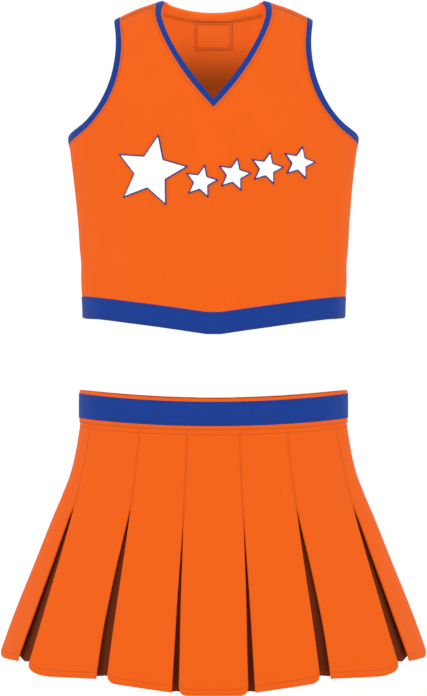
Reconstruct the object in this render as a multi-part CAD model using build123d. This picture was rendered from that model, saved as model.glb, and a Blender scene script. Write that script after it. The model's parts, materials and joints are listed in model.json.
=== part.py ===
"""Two-piece cheer uniform: a sleeveless V-neck shell top over a box-pleated skirt, both held open as worn.

Millimetres. +Z up, the front faces -Y and +X is the wearer's left. The origin is the middle of the skirt's
waist opening, level with the waistband's top edge at the side seams.
"""

from build123d import *
import os
from math import atan2, cos, degrees, hypot, radians, sin, sqrt, tan

import numpy as np

# Driving dimensions of the top
HEM_Z = 84.0  # hem at the side seams
UNDERARM_Z = 293.0
CROWN_Z = 452.0  # where the shoulder dome would close if there were no neck opening
HEM_A, CHEST_A = 151.0, 167.5  # half widths
HEM_B, CHEST_B = 98.0, 110.0  # half depths
CLOTH = 2.0  # double knit with its lining
TRIM_PROUD = 0.5  # how far a bound edge stands out on each side of the cloth
APPLIQUE = 0.8  # one layer of twill
BAND_TALL = 24.0
HEM_POINT_DROP = 21.0  # the chevron's point below the side seams
HEM_POINT_FLAT = 8.0  # half of the short flat at the point
FACING_DEEP = 9.0
PATCH_WIDE = 44.0
PATCH_TOP, PATCH_BOTTOM = 431.0, 404.0
SPAN = 320.0  # longer than any piece is wide

# Driving dimensions of the skirt
WAIST_A, WAIST_B = 154.7, 100.0  # outside the stripe
WAISTBAND_TALL = 36.0
WAIST_DIP = 8.0  # centre front and centre back below the side seams
BAND = 3.0
STRIPE = 1.0
LINING = 1.0
STRIPE_TOP, STRIPE_TALL = 3.5, 27.0
GORE_CLOTH = 3.5  # three layers of pleat, stitched down
FACE_CLOTH = 1.2
PLEAT_THICK = 3.6
UNDERLAY_CLOTH = 1.0
YOKE = [(-36.0, 153.5, 98.5), (-80.0, 160.5, 105.54), (-150.0, 188.5, 116.74)]  # z, half width, half depth
RELEASE_SIDE, RELEASE_DROP = -122.0, 19.0  # where pleats come free at the sides, and how much lower in front
HEM_SIDE, HEM_DROP = -303.0, 17.0
SKIRT_A, SKIRT_B = 243.8, 170.0
SEAM_ANGLES = (10.8, 31.5, 62.0, 90.0)  # of each pleat round the waist, from the centre front
HEM_ANGLES = (9.7, 29.6, 60.0, 90.0)
HEM_GAPS = (8.0, 11.0, 17.0, 17.0)
RETURN_TOP, RETURN_WIDE = 4.0, 24.0  # cloth folded back behind a panel's edge, at its top and its hem
UNDERLAY_TOP, UNDERLAY_HEM = 5.0, 34.0  # half widths
UNDERLAY_BACK = 2.4  # clear space between an underlay and the panels in front
UNDERLAY_DROP, UNDERLAY_SHORT = 3.0, 4.0  # how far it stops short of the panels, at the top and at the hem
CORNER, UNDERLAY_CORNER = 9.0, 5.0
JOINT_GAP, SIDE_GAP = 1.4, 0.3  # round the pleats where they come free of the yoke

# Driving dimensions of the centre back closure
ZIP_LONG = 84.0
SLOT = 5.5  # half width of the opening in the yoke
TAPE_WIDE, TAPE = 15.0, 0.7
ROW_GAP, ROW_WIDE, ROW_THICK = 0.7, 1.8, 1.6
SLIDER_LONG, SLIDER_HALF = 9.0, 4.0
PULL_LONG, PULL_HALF = 26.0, 3.4
TAB_ROOT, TAB_TIP = 26.0, -18.0
UNDERLAP_END = 18.0
UNDERLAP = 1.2
SNAP_X, SNAP_R, SNAP_POST_R = -7.0, 4.9, 2.0
SNAP_HEIGHTS = (-19.0, -33.0)

parts = {}


# ---------- the top ----------


def torso_profile(z):
    """Half width and half depth of the top at a height: a tapered tube closed by a dome at the shoulders."""
    if z < UNDERARM_Z:
        t = (z - HEM_Z) / (UNDERARM_Z - HEM_Z)
        return HEM_A + 8.5 * t + 8.0 * t**3, HEM_B + (CHEST_B - HEM_B) * (1 - (1 - t) ** 2)
    s = (z - UNDERARM_Z) / (CROWN_Z - UNDERARM_Z)
    return CHEST_A * sqrt(1 - s**3.6), CHEST_B * sqrt(1 - s**1.3)


def torso(offset):
    """The closed form of the top, moved out (or in, if negative) by offset square to its surface."""
    body, dome = np.linspace(55, UNDERARM_Z - 1, 40), np.linspace(UNDERARM_Z, CROWN_Z - 0.4, 120)
    heights = np.concatenate([body, dome])
    moved = []
    for axis in (0, 1):
        radius = np.array([torso_profile(z)[axis] for z in heights])
        slope = np.gradient(radius, heights)
        length = np.hypot(1, slope)
        moved.append((heights - offset * slope / length, radius + offset / length))
    top = min(line[0][-1] for line in moved) - 1.5
    levels = [56, 84, 130, 190, 250, 285, 300, 330, 360, 385, 405, 420, 432, 440]
    levels = [z for z in levels if z < top - 3] + [top]
    sections = [
        Plane.XY.offset(z) * Ellipse(np.interp(z, *moved[0]), np.interp(z, *moved[1])) for z in levels
    ]
    return loft(sections)


def shell(outer, inner):
    return torso(outer) - torso(inner)


def front_view(edges, front=True, back=True):
    """A region drawn in the front view, as a slab through the front half, the back half or both."""
    face = Plane.XZ * make_face(edges)
    slabs = []
    if front:
        slabs.append(extrude(face, amount=SPAN))
    if back:
        slabs.append(extrude(face, amount=-SPAN))
    return slabs[0] if len(slabs) == 1 else slabs[0] + slabs[1]


def both_sides(slab):
    return slab + mirror(slab, about=Plane.YZ)


# The armhole's edge and the seam of its binding, from the shoulder tip down to the side seam
ARMHOLE_EDGE = [(114.2, 428), (112.2, 404), (113.5, 385), (118, 364), (129.7, 337.6), (141.6, 318.6),
                (155.8, 305), (164.2, 297), (169, 289)]
ARMHOLE_SEAM = [(107.5, 431), (106.2, 404), (107.7, 384), (112.6, 361.5), (124, 337), (136.5, 316),
                (150.5, 301), (160.5, 291.5), (169, 284)]
# The V neck's edge and the seam of its binding, from the point up to the shoulder
NECK_EDGE = [(0, 321.4), (21.4, 348.7), (37.6, 373.3), (52, 402.6), (57.6, 419), (59.6, 431), (57, 446)]
NECK_SEAM = [(0, 312), (16.8, 331.4), (32.8, 353), (49.4, 381.6), (61.3, 409), (66, 427), (66, 444)]
BACK_NECK_DIP = 441.0
ABOVE = 480.0
BELOW = 30.0


def outside_armhole(line):
    """Everything on the arm's side of a line down the armhole."""
    beyond = Polyline(line[-1], (SPAN, line[-1][1]), (SPAN, ABOVE), (line[0][0], ABOVE), line[0])
    return both_sides(front_view([Spline(*line), beyond]))


def inside_neck(line):
    """Everything inside a line down the V neck, in the front half only."""
    within = Polyline(line[-1], (line[-1][0], ABOVE), (0, ABOVE), line[0])
    return both_sides(front_view([Spline(*line), within], back=False))


def back_neck(drop):
    """Everything above the back neck's edge, lowered by drop."""
    x, z = NECK_EDGE[-1]
    x += drop / 2
    arc = ThreePointArc((-x, z - drop), (0, BACK_NECK_DIP - drop), (x, z - drop))
    return front_view([arc, Polyline(arc @ 1, (x, ABOVE), (-x, ABOVE), arc @ 0)], front=False)


def below_line(lift, pointed):
    """Everything under the hem line raised by lift. The front's line runs down to a blunt point."""
    side = HEM_Z + lift
    if pointed:
        low = side - HEM_POINT_DROP
        line = Polyline((-HEM_A, side), (-HEM_POINT_FLAT, low), (HEM_POINT_FLAT, low), (HEM_A, side))
    else:
        line = Polyline((-HEM_A, side), (HEM_A, side))
    ends = Polyline((HEM_A, side), (SPAN, side), (SPAN, BELOW), (-SPAN, BELOW), (-SPAN, side), (-HEM_A, side))
    return front_view([line, ends], front=pointed, back=not pointed)


front_half = Pos(0, -SPAN / 2, 0) * Box(2 * SPAN, SPAN, 1200)
back_half = Pos(0, SPAN / 2, 0) * Box(2 * SPAN, SPAN, 1200)
left_half = Pos(SPAN / 2, 0, 0) * Box(SPAN, 2 * SPAN, 1200)
right_half = Pos(-SPAN / 2, 0, 0) * Box(SPAN, 2 * SPAN, 1200)


def make_top():
    cloth = shell(0, -CLOTH)
    bound = shell(TRIM_PROUD, -CLOTH - TRIM_PROUD)
    arms_cut, arms_seam = outside_armhole(ARMHOLE_EDGE), outside_armhole(ARMHOLE_SEAM)
    neck_cut, neck_seam = inside_neck(NECK_EDGE), inside_neck(NECK_SEAM)
    scoop = back_neck(0)
    front_hem, back_hem = below_line(0, True), below_line(0, False)
    front_band, back_band = below_line(BAND_TALL, True), below_line(BAND_TALL, False)

    parts["front_panel"] = (cloth & front_half) - arms_seam - neck_seam - front_band
    parts["back_panel"] = (cloth & back_half) - arms_seam - scoop - back_band
    parts["hem_band_front"] = (bound & front_half & front_band) - front_hem
    parts["hem_band_back"] = (bound & back_half & back_band) - back_hem
    neck_trim = (bound & front_half & neck_seam) - neck_cut
    arm_trim = (bound & arms_seam) - arms_cut
    for side, half in (("left", left_half), ("right", right_half)):
        parts["neck_trim_" + side] = neck_trim & half
        parts["armhole_trim_" + side] = arm_trim & half

    inside = shell(-CLOTH, -CLOTH - 1.0)
    parts["back_neck_facing"] = ((inside & back_half) & back_neck(FACING_DEEP)) - scoop
    patch_mid, patch_tall = (PATCH_TOP + PATCH_BOTTOM) / 2, PATCH_TOP - PATCH_BOTTOM
    patch = Pos(0, SPAN / 2, patch_mid) * Box(PATCH_WIDE, SPAN, patch_tall)
    parts["label_patch"] = (inside & patch) - back_neck(FACING_DEEP)


# ---------- the emblem: a large star and four smaller ones on a rising line ----------

STAR_POINTS = 5
STAR_WAIST = 0.46  # inner radius over outer radius
EMBLEM_BORDER = 2.2
# The middle of each star and the radius of its points
STARS = [(-69.0, 242.0, 40.0)] + [(-13.5 + 36.0 * i, 229.5 + 7.7 * i, 17.9) for i in range(4)]
STAR_TILT = -12.0


def star_slab(x, z, radius):
    """A five-pointed star drawn in the front view, as a slab through the front half."""
    corners = []
    for i in range(2 * STAR_POINTS):
        r = radius if i % 2 == 0 else radius * STAR_WAIST
        a = radians(90 + STAR_TILT + i * 180 / STAR_POINTS)
        corners.append((x + r * cos(a), z + r * sin(a)))
    return front_view([Polyline(*corners, corners[0])], back=False)


def make_emblem():
    layers = {
        "emblem_backing": (shell(APPLIQUE, 0) & front_half, EMBLEM_BORDER),
        "emblem_facing": (shell(2 * APPLIQUE, APPLIQUE) & front_half, -EMBLEM_BORDER),
    }
    for name, (layer, grow) in layers.items():
        stars = [layer & star_slab(x, z, r + grow) for x, z, r in STARS]
        parts[name] = Compound([solid for star in stars for solid in star.solids()])


# ---------- the skirt's waistband and its tab ----------


def hoop(outer, inner):
    """An elliptical tube round the waist, its faces set in from the waist's outside by these amounts."""
    ring = Ellipse(WAIST_A - outer, WAIST_B - outer) - Ellipse(WAIST_A - inner, WAIST_B - inner)
    return extrude(Plane.XY.offset(-70) * ring, amount=90)


def waist_strip(top, tall, dip_top=WAIST_DIP, dip_bottom=5.0):
    """The region between two edges that dip at the centre front and back."""
    upper = ThreePointArc((-WAIST_A - 2, -top), (0, -top - dip_top), (WAIST_A + 2, -top))
    bottom = -top - tall
    lower = ThreePointArc((WAIST_A + 2, bottom), (0, bottom - dip_bottom), (-WAIST_A - 2, bottom))
    return front_view([upper, Line(upper @ 1, lower @ 0), lower, Line(lower @ 1, upper @ 0)])


def back_between(low, high):
    """A box over the back of the waist between two distances across it."""
    return Pos((low + high) / 2, WAIST_B, -30) * Box(high - low, 60, 120)


def make_waistband():
    band = hoop(STRIPE, STRIPE + BAND) & waist_strip(0, WAISTBAND_TALL)
    stripe = hoop(0, STRIPE) & waist_strip(STRIPE_TOP, STRIPE_TALL)
    lining = hoop(STRIPE + BAND, STRIPE + BAND + LINING) & waist_strip(1.5, WAISTBAND_TALL - 3)
    opening = back_between(TAB_TIP - 1, TAB_ROOT)

    parts["waistband_front"] = band & front_half
    parts["waist_stripe_front"] = stripe & front_half
    for side, half in (("left", left_half), ("right", right_half)):
        parts["waistband_" + side] = (band & back_half & half) - opening
        parts["waist_stripe_" + side] = (stripe & back_half & half) - opening
    parts["waistband_lining"] = lining - back_between(TAB_TIP - 1, TAB_ROOT + 2)

    # The right end runs on under the tab
    underlap = hoop(STRIPE + BAND - UNDERLAP, STRIPE + BAND) & waist_strip(0.5, WAISTBAND_TALL - 1)
    underlap = underlap & back_between(TAB_TIP - 1, UNDERLAP_END)
    tab = hoop(STRIPE, STRIPE + BAND - UNDERLAP - 0.3) & waist_strip(0, WAISTBAND_TALL)
    tab = tab & back_between(TAB_TIP, TAB_ROOT - 0.3)
    tab_stripe = stripe & back_between(TAB_TIP, TAB_ROOT - 0.3)

    # Snaps: a stud in the underlap and a socket in the tab
    y_mid = WAIST_B * sqrt(1 - (SNAP_X / WAIST_A) ** 2)
    inner_face = y_mid - STRIPE - BAND
    studs, sockets = [], []
    for z in SNAP_HEIGHTS:
        seat = Pos(SNAP_X, inner_face + UNDERLAP / 2, z) * Rot(90, 0, 0) * Cylinder(SNAP_R, 3.2)
        underlap -= seat & (hoop(STRIPE + BAND - UNDERLAP - 0.1, STRIPE + BAND + 1))
        flange = Pos(SNAP_X, inner_face + 0.75, z) * Rot(90, 0, 0) * Cylinder(SNAP_R - 0.05, 0.9)
        post = Pos(SNAP_X, inner_face + 1.6, z) * Rot(90, 0, 0) * Cylinder(SNAP_POST_R, 1.6)
        studs.append(flange + post)
        tab -= Pos(SNAP_X, y_mid - 2, z) * Rot(90, 0, 0) * Cylinder(SNAP_R, 3.4)
        ring = Cylinder(SNAP_R - 0.05, 0.9) - Cylinder(SNAP_POST_R + 0.45, 2)
        sockets.append(Pos(SNAP_X, y_mid - STRIPE - 0.65, z) * Rot(90, 0, 0) * ring)
    parts["waistband_right"] = parts["waistband_right"] + underlap
    parts["closure_tab"] = tab
    parts["closure_tab_stripe"] = tab_stripe
    parts["snap_studs"] = Compound(studs)
    parts["snap_sockets"] = Compound(sockets)


# ---------- the skirt's stitched-down yoke ----------


def on_ellipse(angle, a, b, z):
    """A point on an ellipse round the skirt, by its angle from the centre front towards the wearer's left."""
    return Vector(a * sin(radians(angle)), -b * cos(radians(angle)), z)


def pleat_ring():
    """Each pleat's angle at the waist, angle at the hem and gap at the hem, in order round the skirt."""
    quarter = list(zip(SEAM_ANGLES, HEM_ANGLES, HEM_GAPS))
    left = quarter + [(180 - s, 180 - h, g) for s, h, g in reversed(quarter[:-1])]
    return left + [(360 - s, 360 - h, g) for s, h, g in reversed(left)]


def yoke_size(z):
    heights, widths, depths = zip(*reversed(YOKE))
    return np.interp(z, heights, widths), np.interp(z, heights, depths)


def release_z(angle):
    return RELEASE_SIDE - RELEASE_DROP * cos(radians(angle)) ** 2


def hem_z(angle):
    return HEM_SIDE - HEM_DROP * cos(radians(angle)) ** 2


def yoke_form(inset):
    """A tube with a flat for each gore, set in by inset."""
    sections = []
    for z, a, b in YOKE:
        corners = [on_ellipse(seam, a - inset, b - inset, z) for seam, _, _ in pleat_ring()]
        sections.append(make_face(Polyline(*corners, corners[0])))
    return loft(sections, ruled=True)


def zip_frame():
    """The plane of the centre back gore: its x runs down the gore and its z points out of the skirt."""
    top_z = -WAISTBAND_TALL - 5.6
    scale = cos(radians(SEAM_ANGLES[0]))
    low_z = -140.0
    high = Vector(0, yoke_size(top_z)[1] * scale, top_z)
    low = Vector(0, yoke_size(low_z)[1] * scale, low_z)
    down = (low - high).normalized()
    return Plane(origin=high, x_dir=down, z_dir=down.cross(Vector(-1, 0, 0)))


def block(plane, v, u, w):
    """A box in a gore's plane: v down the gore, u across it and w out of it, each a pair of limits."""
    size = [hi - lo for lo, hi in (v, u, w)]
    centre = [(hi + lo) / 2 for lo, hi in (v, u, w)]
    return plane * Pos(*centre) * Box(*size)


def make_yoke():
    body = yoke_form(0) - yoke_form(GORE_CLOTH)
    top_edge = ThreePointArc(
        (-WAIST_A - 2, -WAISTBAND_TALL), (0, -WAISTBAND_TALL - 5), (WAIST_A + 2, -WAISTBAND_TALL)
    )
    a_low = yoke_size(RELEASE_SIDE)[0]
    low_edge = ThreePointArc((a_low, RELEASE_SIDE), (0, RELEASE_SIDE - RELEASE_DROP), (-a_low, RELEASE_SIDE))
    left_end = Polyline(top_edge @ 1, (SPAN, -WAISTBAND_TALL), (SPAN, RELEASE_SIDE), low_edge @ 0)
    right_end = Polyline(low_edge @ 1, (-SPAN, RELEASE_SIDE), (-SPAN, -WAISTBAND_TALL), top_edge @ 0)
    body = body & front_view([top_edge, left_end, low_edge, right_end])
    parts["hip_yoke_front"] = body & front_half
    slot = block(zip_frame(), (-8, ZIP_LONG + 2), (-SLOT, SLOT), (-8, 8))
    parts["hip_yoke_back"] = (body & back_half) - slot


# ---------- the zip ----------


def make_zip():
    plane = zip_frame()
    tape_w = (-GORE_CLOTH - TAPE, -GORE_CLOTH)
    row_w = (-GORE_CLOTH, -GORE_CLOTH + ROW_THICK)
    for side, sign in (("left", -1), ("right", 1)):
        # u runs towards the wearer's left where the plane's y axis does
        near, far = sign * ROW_GAP, sign * (ROW_GAP + TAPE_WIDE)
        parts["zip_tape_" + side] = block(plane, (0.5, ZIP_LONG + 6), sorted((near, far)), tape_w)
        teeth = sorted((near, sign * (ROW_GAP + ROW_WIDE)))
        parts["zip_teeth_" + side] = block(plane, (3.2, ZIP_LONG - 3), teeth, row_w)
    stop = block(plane, (ZIP_LONG - 2.6, ZIP_LONG), (-2.8, 2.8), (-GORE_CLOTH, -GORE_CLOTH + ROW_THICK + 0.4))
    tops = [
        block(plane, (1.0, 3.0), sorted((s * ROW_GAP, s * (ROW_GAP + 2.0))), (-GORE_CLOTH, -GORE_CLOTH + 1.4))
        for s in (-1, 1)
    ]
    parts["zip_stops"] = Compound([stop, *tops])

    # The slider: two plates joined by a thin post that runs between the rows of teeth
    start, end = 3.4, 3.4 + SLIDER_LONG
    outer = block(plane, (start, end), (-SLIDER_HALF, SLIDER_HALF), (-1.5, -0.3))
    inner = block(plane, (start, end), (-SLIDER_HALF, SLIDER_HALF), (-6.0, -4.7))
    post = block(plane, (start + 1, start + 4), (-0.35, 0.35), (-5.0, -1.0))
    slider = outer + inner + post
    for sign in (-1, 1):
        slider += block(plane, (start, end), sorted((sign * 3.0, sign * SLIDER_HALF)), (-3.0, -1.0))
        slider += block(plane, (start + 1.5, start + 5.5), sorted((sign * 1.9, sign * 2.9)), (-0.4, 2.2))
    pin_at = plane * Pos(start + 3.5, 0, 1.5)
    slider += pin_at * Rot(90, 0, 0) * Cylinder(0.6, 5.0)
    parts["zip_slider"] = slider

    grip = block(plane, (start + 6.5, start + 3.5 + PULL_LONG), (-PULL_HALF, PULL_HALF), (0.9, 2.1))
    neck = block(plane, (start + 3.5, start + 8.0), (-1.5, 1.5), (0.9, 2.1))
    eye = pin_at * Rot(90, 0, 0) * Cylinder(1.35, 3.0)
    bore = pin_at * Rot(90, 0, 0) * Cylinder(0.68, 12.0)
    thumb = plane * Pos(start + PULL_LONG - 3, 0, 1.5) * Cylinder(1.8, 6)
    parts["zip_pull"] = (grip + neck + eye) - bore - thumb


# ---------- the pleats ----------


def gore_plane(top_mid, low_a, low_b):
    """The plane through a gore's top middle and its hem corners: x across it, y up it, z out of the skirt."""
    across = (low_b - low_a).normalized()
    up = top_mid - (low_a + low_b) * 0.5
    out = across.cross(up).normalized()
    if out.dot(Vector(top_mid.X, top_mid.Y, 0)) < 0:
        out = out * -1
    return Plane(origin=top_mid, x_dir=across, z_dir=out)


def release_point(angle, drop=0.0):
    z = release_z(angle) - drop
    return on_ellipse(angle, *yoke_size(z), z)


def hem_corner(hem_angle, shift):
    """The hem's point at a pleat, moved along the hem by shift."""
    rate = hypot(SKIRT_A * cos(radians(hem_angle)), SKIRT_B * sin(radians(hem_angle)))
    angle = hem_angle + degrees(shift / rate)
    return on_ellipse(angle, SKIRT_A, SKIRT_B, hem_z(angle))


def flat_piece(plane, corners, low, high, radius=0.0):
    """A flat plate between two depths below a plane, from its corners in order, rounded at the hem end."""
    local = [plane.to_local_coords(c) for c in corners]
    face = make_face(Polyline(*[(p.X, p.Y) for p in local], (local[0].X, local[0].Y)))
    if radius:
        lowest = sorted(face.vertices(), key=lambda v: v.Y)[:2]
        face = fillet(lowest, radius)
    return plane * (Pos(0, 0, -high) * extrude(face, amount=high - low))


def half_turn(before, corner, after):
    """Half the angle that the skirt's outline turns through at a pleat, seen from above."""
    into, out_of = corner - before, after - corner
    return atan2(into.X * out_of.Y - into.Y * out_of.X, into.X * out_of.X + into.Y * out_of.Y) / 2


def panel_layout(i):
    """The panel that follows pleat i round the skirt: its plane, and its top and low corners at each end."""
    ring = pleat_ring()
    before, start, end, after = (ring[n % len(ring)] for n in range(i - 1, i + 3))
    tops = [release_point(pleat[0], JOINT_GAP) for pleat in (before, start, end, after)]
    low_a, low_b = hem_corner(start[1], start[2] / 2), hem_corner(end[1], -end[2] / 2)
    along = (tops[2] - tops[1]).normalized()
    clear_a = SIDE_GAP + PLEAT_THICK * tan(half_turn(*tops[:3]))
    clear_b = SIDE_GAP + PLEAT_THICK * tan(half_turn(*tops[1:]))
    plane = gore_plane((tops[1] + tops[2]) * 0.5, low_a, low_b)
    return plane, (tops[1] + along * clear_a, low_a), (tops[2] - along * clear_b, low_b)


def underlay_layout(i):
    """The underlay behind pleat i: its plane, the middle of its top and the middle of its hem."""
    ring = pleat_ring()
    before, here, after = (ring[n % len(ring)] for n in (i - 1, i, i + 1))
    lows = [hem_corner(pleat[1], 0) for pleat in (before, here, after)]
    across = (lows[1] - lows[0]).normalized() + (lows[2] - lows[1]).normalized()
    across = Vector(across.X, across.Y, 0).normalized()
    out = across.cross(Vector(0, 0, 1))
    top = release_point(here[0], JOINT_GAP + UNDERLAY_DROP) - out * (PLEAT_THICK + UNDERLAY_BACK)
    deep = UNDERLAY_HEM * tan(half_turn(*lows)) + PLEAT_THICK + UNDERLAY_BACK
    low = lows[1] - out * deep
    low = low + (top - low).normalized() * UNDERLAY_SHORT
    return gore_plane(top, low - across, low + across), top, low


def make_pleats():
    for i in range(len(pleat_ring())):
        plane, *ends = panel_layout(i)
        (top_a, low_a), (top_b, low_b) = ends
        across = plane.x_dir
        pleat = flat_piece(plane, [top_a, top_b, low_b, low_a], 0, FACE_CLOTH, CORNER)
        for (top, low), sign in zip(ends, (1, -1)):
            # the cloth turned back behind this edge, and the fold that joins it to the face
            raised = low + (top - low).normalized() * (CORNER + 4)
            turned = [top, top + across * sign * RETURN_TOP, raised + across * sign * RETURN_WIDE, raised]
            fold = [top, top + across * sign * FACE_CLOTH, raised + across * sign * FACE_CLOTH, raised]
            pleat += flat_piece(plane, turned, PLEAT_THICK - FACE_CLOTH, PLEAT_THICK)
            pleat += flat_piece(plane, fold, 0, PLEAT_THICK)
        parts[f"pleat_{(i + 1) % len(pleat_ring()) + 1:02d}"] = pleat

        plane, top, low = underlay_layout(i)
        across = plane.x_dir
        corners = [top - across * UNDERLAY_TOP, top + across * UNDERLAY_TOP,
                   low + across * UNDERLAY_HEM, low - across * UNDERLAY_HEM]
        parts[f"underlay_{i + 1:02d}"] = flat_piece(plane, corners, 0, UNDERLAY_CLOTH, UNDERLAY_CORNER)


make_top()
make_emblem()
make_waistband()
make_yoke()
make_zip()
make_pleats()

os.makedirs("parts", exist_ok=True)
for name, shape in parts.items():
    export_step(shape, f"parts/{name}.step")
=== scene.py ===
"""The looks of a two-piece cheer uniform, built around its fixed frame: a V-neck shell top and a box-pleated skirt.

Lengths in the builder are millimetres and become metres when a mesh is made. The front faces -Y, +X is the wearer's
left and +Z is up.
"""

import json
import math

import bpy
import numpy as np
from bpy.props import FloatProperty, PointerProperty, StringProperty
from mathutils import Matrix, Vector
from mathutils.geometry import delaunay_2d_cdt


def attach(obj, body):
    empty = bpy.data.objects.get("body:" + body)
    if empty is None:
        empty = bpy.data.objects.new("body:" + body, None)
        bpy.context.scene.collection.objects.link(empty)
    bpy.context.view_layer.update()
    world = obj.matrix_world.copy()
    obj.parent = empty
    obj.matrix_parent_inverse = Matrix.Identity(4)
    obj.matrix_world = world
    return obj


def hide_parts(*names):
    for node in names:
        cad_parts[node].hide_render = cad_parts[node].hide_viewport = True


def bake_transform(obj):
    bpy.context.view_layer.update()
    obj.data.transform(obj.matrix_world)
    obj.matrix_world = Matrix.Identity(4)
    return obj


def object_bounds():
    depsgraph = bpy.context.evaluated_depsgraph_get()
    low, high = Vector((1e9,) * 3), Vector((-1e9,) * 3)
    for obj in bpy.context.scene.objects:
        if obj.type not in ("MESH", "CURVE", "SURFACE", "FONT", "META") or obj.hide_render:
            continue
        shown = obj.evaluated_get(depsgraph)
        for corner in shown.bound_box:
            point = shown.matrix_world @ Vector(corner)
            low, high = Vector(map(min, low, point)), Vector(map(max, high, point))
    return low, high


bl_info = {
    "name": "Cheer Uniform Builder",
    "version": (1, 0, 0),
    "blender": (4, 5, 0),
    "location": "3D View > Sidebar > Uniform",
    "description": "Builds a sleeveless cheer top and a box-pleated skirt around a fixed frame",
    "category": "Add Mesh",
}

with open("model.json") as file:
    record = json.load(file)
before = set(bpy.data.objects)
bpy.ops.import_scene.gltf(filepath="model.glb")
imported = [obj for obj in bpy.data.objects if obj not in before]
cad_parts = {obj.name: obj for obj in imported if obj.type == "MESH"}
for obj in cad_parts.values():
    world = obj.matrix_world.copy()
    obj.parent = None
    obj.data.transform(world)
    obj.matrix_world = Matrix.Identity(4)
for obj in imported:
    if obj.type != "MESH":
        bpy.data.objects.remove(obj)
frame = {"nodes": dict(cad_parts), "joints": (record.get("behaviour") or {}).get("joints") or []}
CAD_BOX = [list(corner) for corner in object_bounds()]
JOINTS = {joint["name"]: joint for joint in frame["joints"]}

MM = 0.001
RIGHT_ANGLE = math.pi / 2
FRONT, BACK = "front", "back"
# A finish and the material slot that it goes on
ORANGE = ("double_knit_orange", "orange_knit")
LINING = ("double_knit_lining", "lining")
BRAID = ("knit_braid_blue", "blue_trim")
ORANGE_THREAD = ("spun_thread_orange", "orange_knit")
BLUE_THREAD = ("spun_thread_blue", "blue_trim")
NICKEL = ("nickel_plated_zinc", "steel")


# ---------------------------------------------------------------- settings


def length(name, description, default, low=0.0, high=1.0):
    return FloatProperty(
        name=name, description=description, default=default, min=low, max=high, precision=5,
        subtype="DISTANCE", unit="LENGTH",
    )


def colour(name, description, default):
    return StringProperty(name=name, description=description + ", an sRGB hex value", default=default)


class TopSizes(bpy.types.PropertyGroup):
    cloth: length("Cloth", "Thickness of the double knit with its lining", 0.002, 0.0005, 0.006)
    drape: length("Drape", "Depth of the soft waves in the worn cloth", 0.0009, 0.0, 0.004)
    binding_crown: length("Binding crown", "How far the bindings stand proud of the cloth", 0.0006, 0.0, 0.002)
    star_border: length("Star border", "Width of the twill showing round each white star", 0.0018, 0.0005, 0.006)


class SkirtSizes(bpy.types.PropertyGroup):
    cloth: length("Cloth", "Thickness of the skirt's knit", 0.0011, 0.0005, 0.003)
    fold: length("Fold", "Radius of the fold at a pleat's edge", 0.0009, 0.0005, 0.004)
    crown: FloatProperty(
        name="Pleat crown",
        description="How round a pleat's face stays at the hem: 0 is flat, 1 is the full ellipse",
        default=0.42,
        min=0.0,
        max=1.0,
        subtype="FACTOR",
    )
    coil_pitch: length("Zip coil pitch", "Spacing of the zip's coil elements", 0.0013, 0.0008, 0.003)


class StitchSizes(bpy.types.PropertyGroup):
    pitch: length("Stitch pitch", "Distance from one stitch to the next", 0.0030, 0.0015, 0.006)
    long: length("Stitch length", "Length of thread that shows in one stitch", 0.0025, 0.001, 0.005)
    thread: length("Thread radius", "Radius of the sewing thread", 0.00026, 0.0001, 0.001)


class Colours(bpy.types.PropertyGroup):
    knit: colour("Knit", "Main cloth", "#ED6112")
    # painted light: the lining face at the neck is a brighter orange than the knit, standing in for light that falls in
    # through the neck; the zip coil takes this orange as its own colour
    coil_and_neck_painted_light: colour("Inside", "Lining face of the main cloth, at the neck", "#FF7327")
    # painted shade: the lining face turns a darker brown-orange lower down inside the top, where shade falls
    lining_painted_shade: colour("Deep inside", "Lining face of the main cloth, down inside the top", "#BD5C17")
    # painted shade: the underlays' outer face, seen in the gaps between the pleats, is dark brown for the shade that
    # falls there; the cloth is the skirt's orange, which their inner face keeps
    pleat_painted_shade: colour("Pleat insides", "Cloth that shows between the pleats", "#6E2C0E")
    trim: colour("Trim", "Bindings, bands and the stars' border", "#133A8E")
    star: colour("Stars", "Twill of the stars", "#FBFBFA")
    thread: colour("Orange thread", "Topstitching on the orange cloth", "#B4501F")
    inside_thread: colour("Inside thread", "Stitching on the lining", "#6E3210")
    trim_thread: colour("Blue thread", "Stitching on the blue cloth", "#1A3374")
    metal: colour("Metal", "Zip slider and snaps", "#B8BABD")


# ---------------------------------------------------------------- lines and surfaces


def distances(points):
    """How far along a line each of its points lies."""
    return np.concatenate([[0], np.cumsum(np.linalg.norm(np.diff(points, axis=0), axis=1))])


def unit(vectors):
    return vectors / np.maximum(np.linalg.norm(vectors, axis=-1, keepdims=True), 1e-9)


def smooth_line(points, count=400):
    """A natural cubic spline through the points, sampled evenly by its chord length."""
    points = np.asarray(points, float)
    chord = distances(points)
    return cubic(chord, points, np.linspace(0, chord[-1], count))


def cubic(known, values, wanted):
    """Natural cubic interpolation of values at known places, read at the wanted places."""
    known, values = np.asarray(known, float), np.asarray(values, float)
    wanted = np.atleast_1d(np.asarray(wanted, float))
    flat = values.ndim == 1
    values = values.reshape(len(known), -1)
    gap = np.diff(known)
    matrix, right = np.eye(len(known)), np.zeros_like(values)
    for i in range(1, len(known) - 1):
        matrix[i, i - 1 : i + 2] = gap[i - 1], 2 * (gap[i - 1] + gap[i]), gap[i]
        right[i] = 6 * ((values[i + 1] - values[i]) / gap[i] - (values[i] - values[i - 1]) / gap[i - 1])
    bend = np.linalg.solve(matrix, right)
    i = np.clip(np.searchsorted(known, wanted, side="right") - 1, 0, len(gap) - 1)
    h, a, b = gap[i][:, None], (known[i + 1] - wanted)[:, None], (wanted - known[i])[:, None]
    out = (
        bend[i] * a**3 / (6 * h)
        + bend[i + 1] * b**3 / (6 * h)
        + (values[i] / h - bend[i] * h / 6) * a
        + (values[i + 1] / h - bend[i + 1] * h / 6) * b
    )
    return out[:, 0] if flat else out


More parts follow.
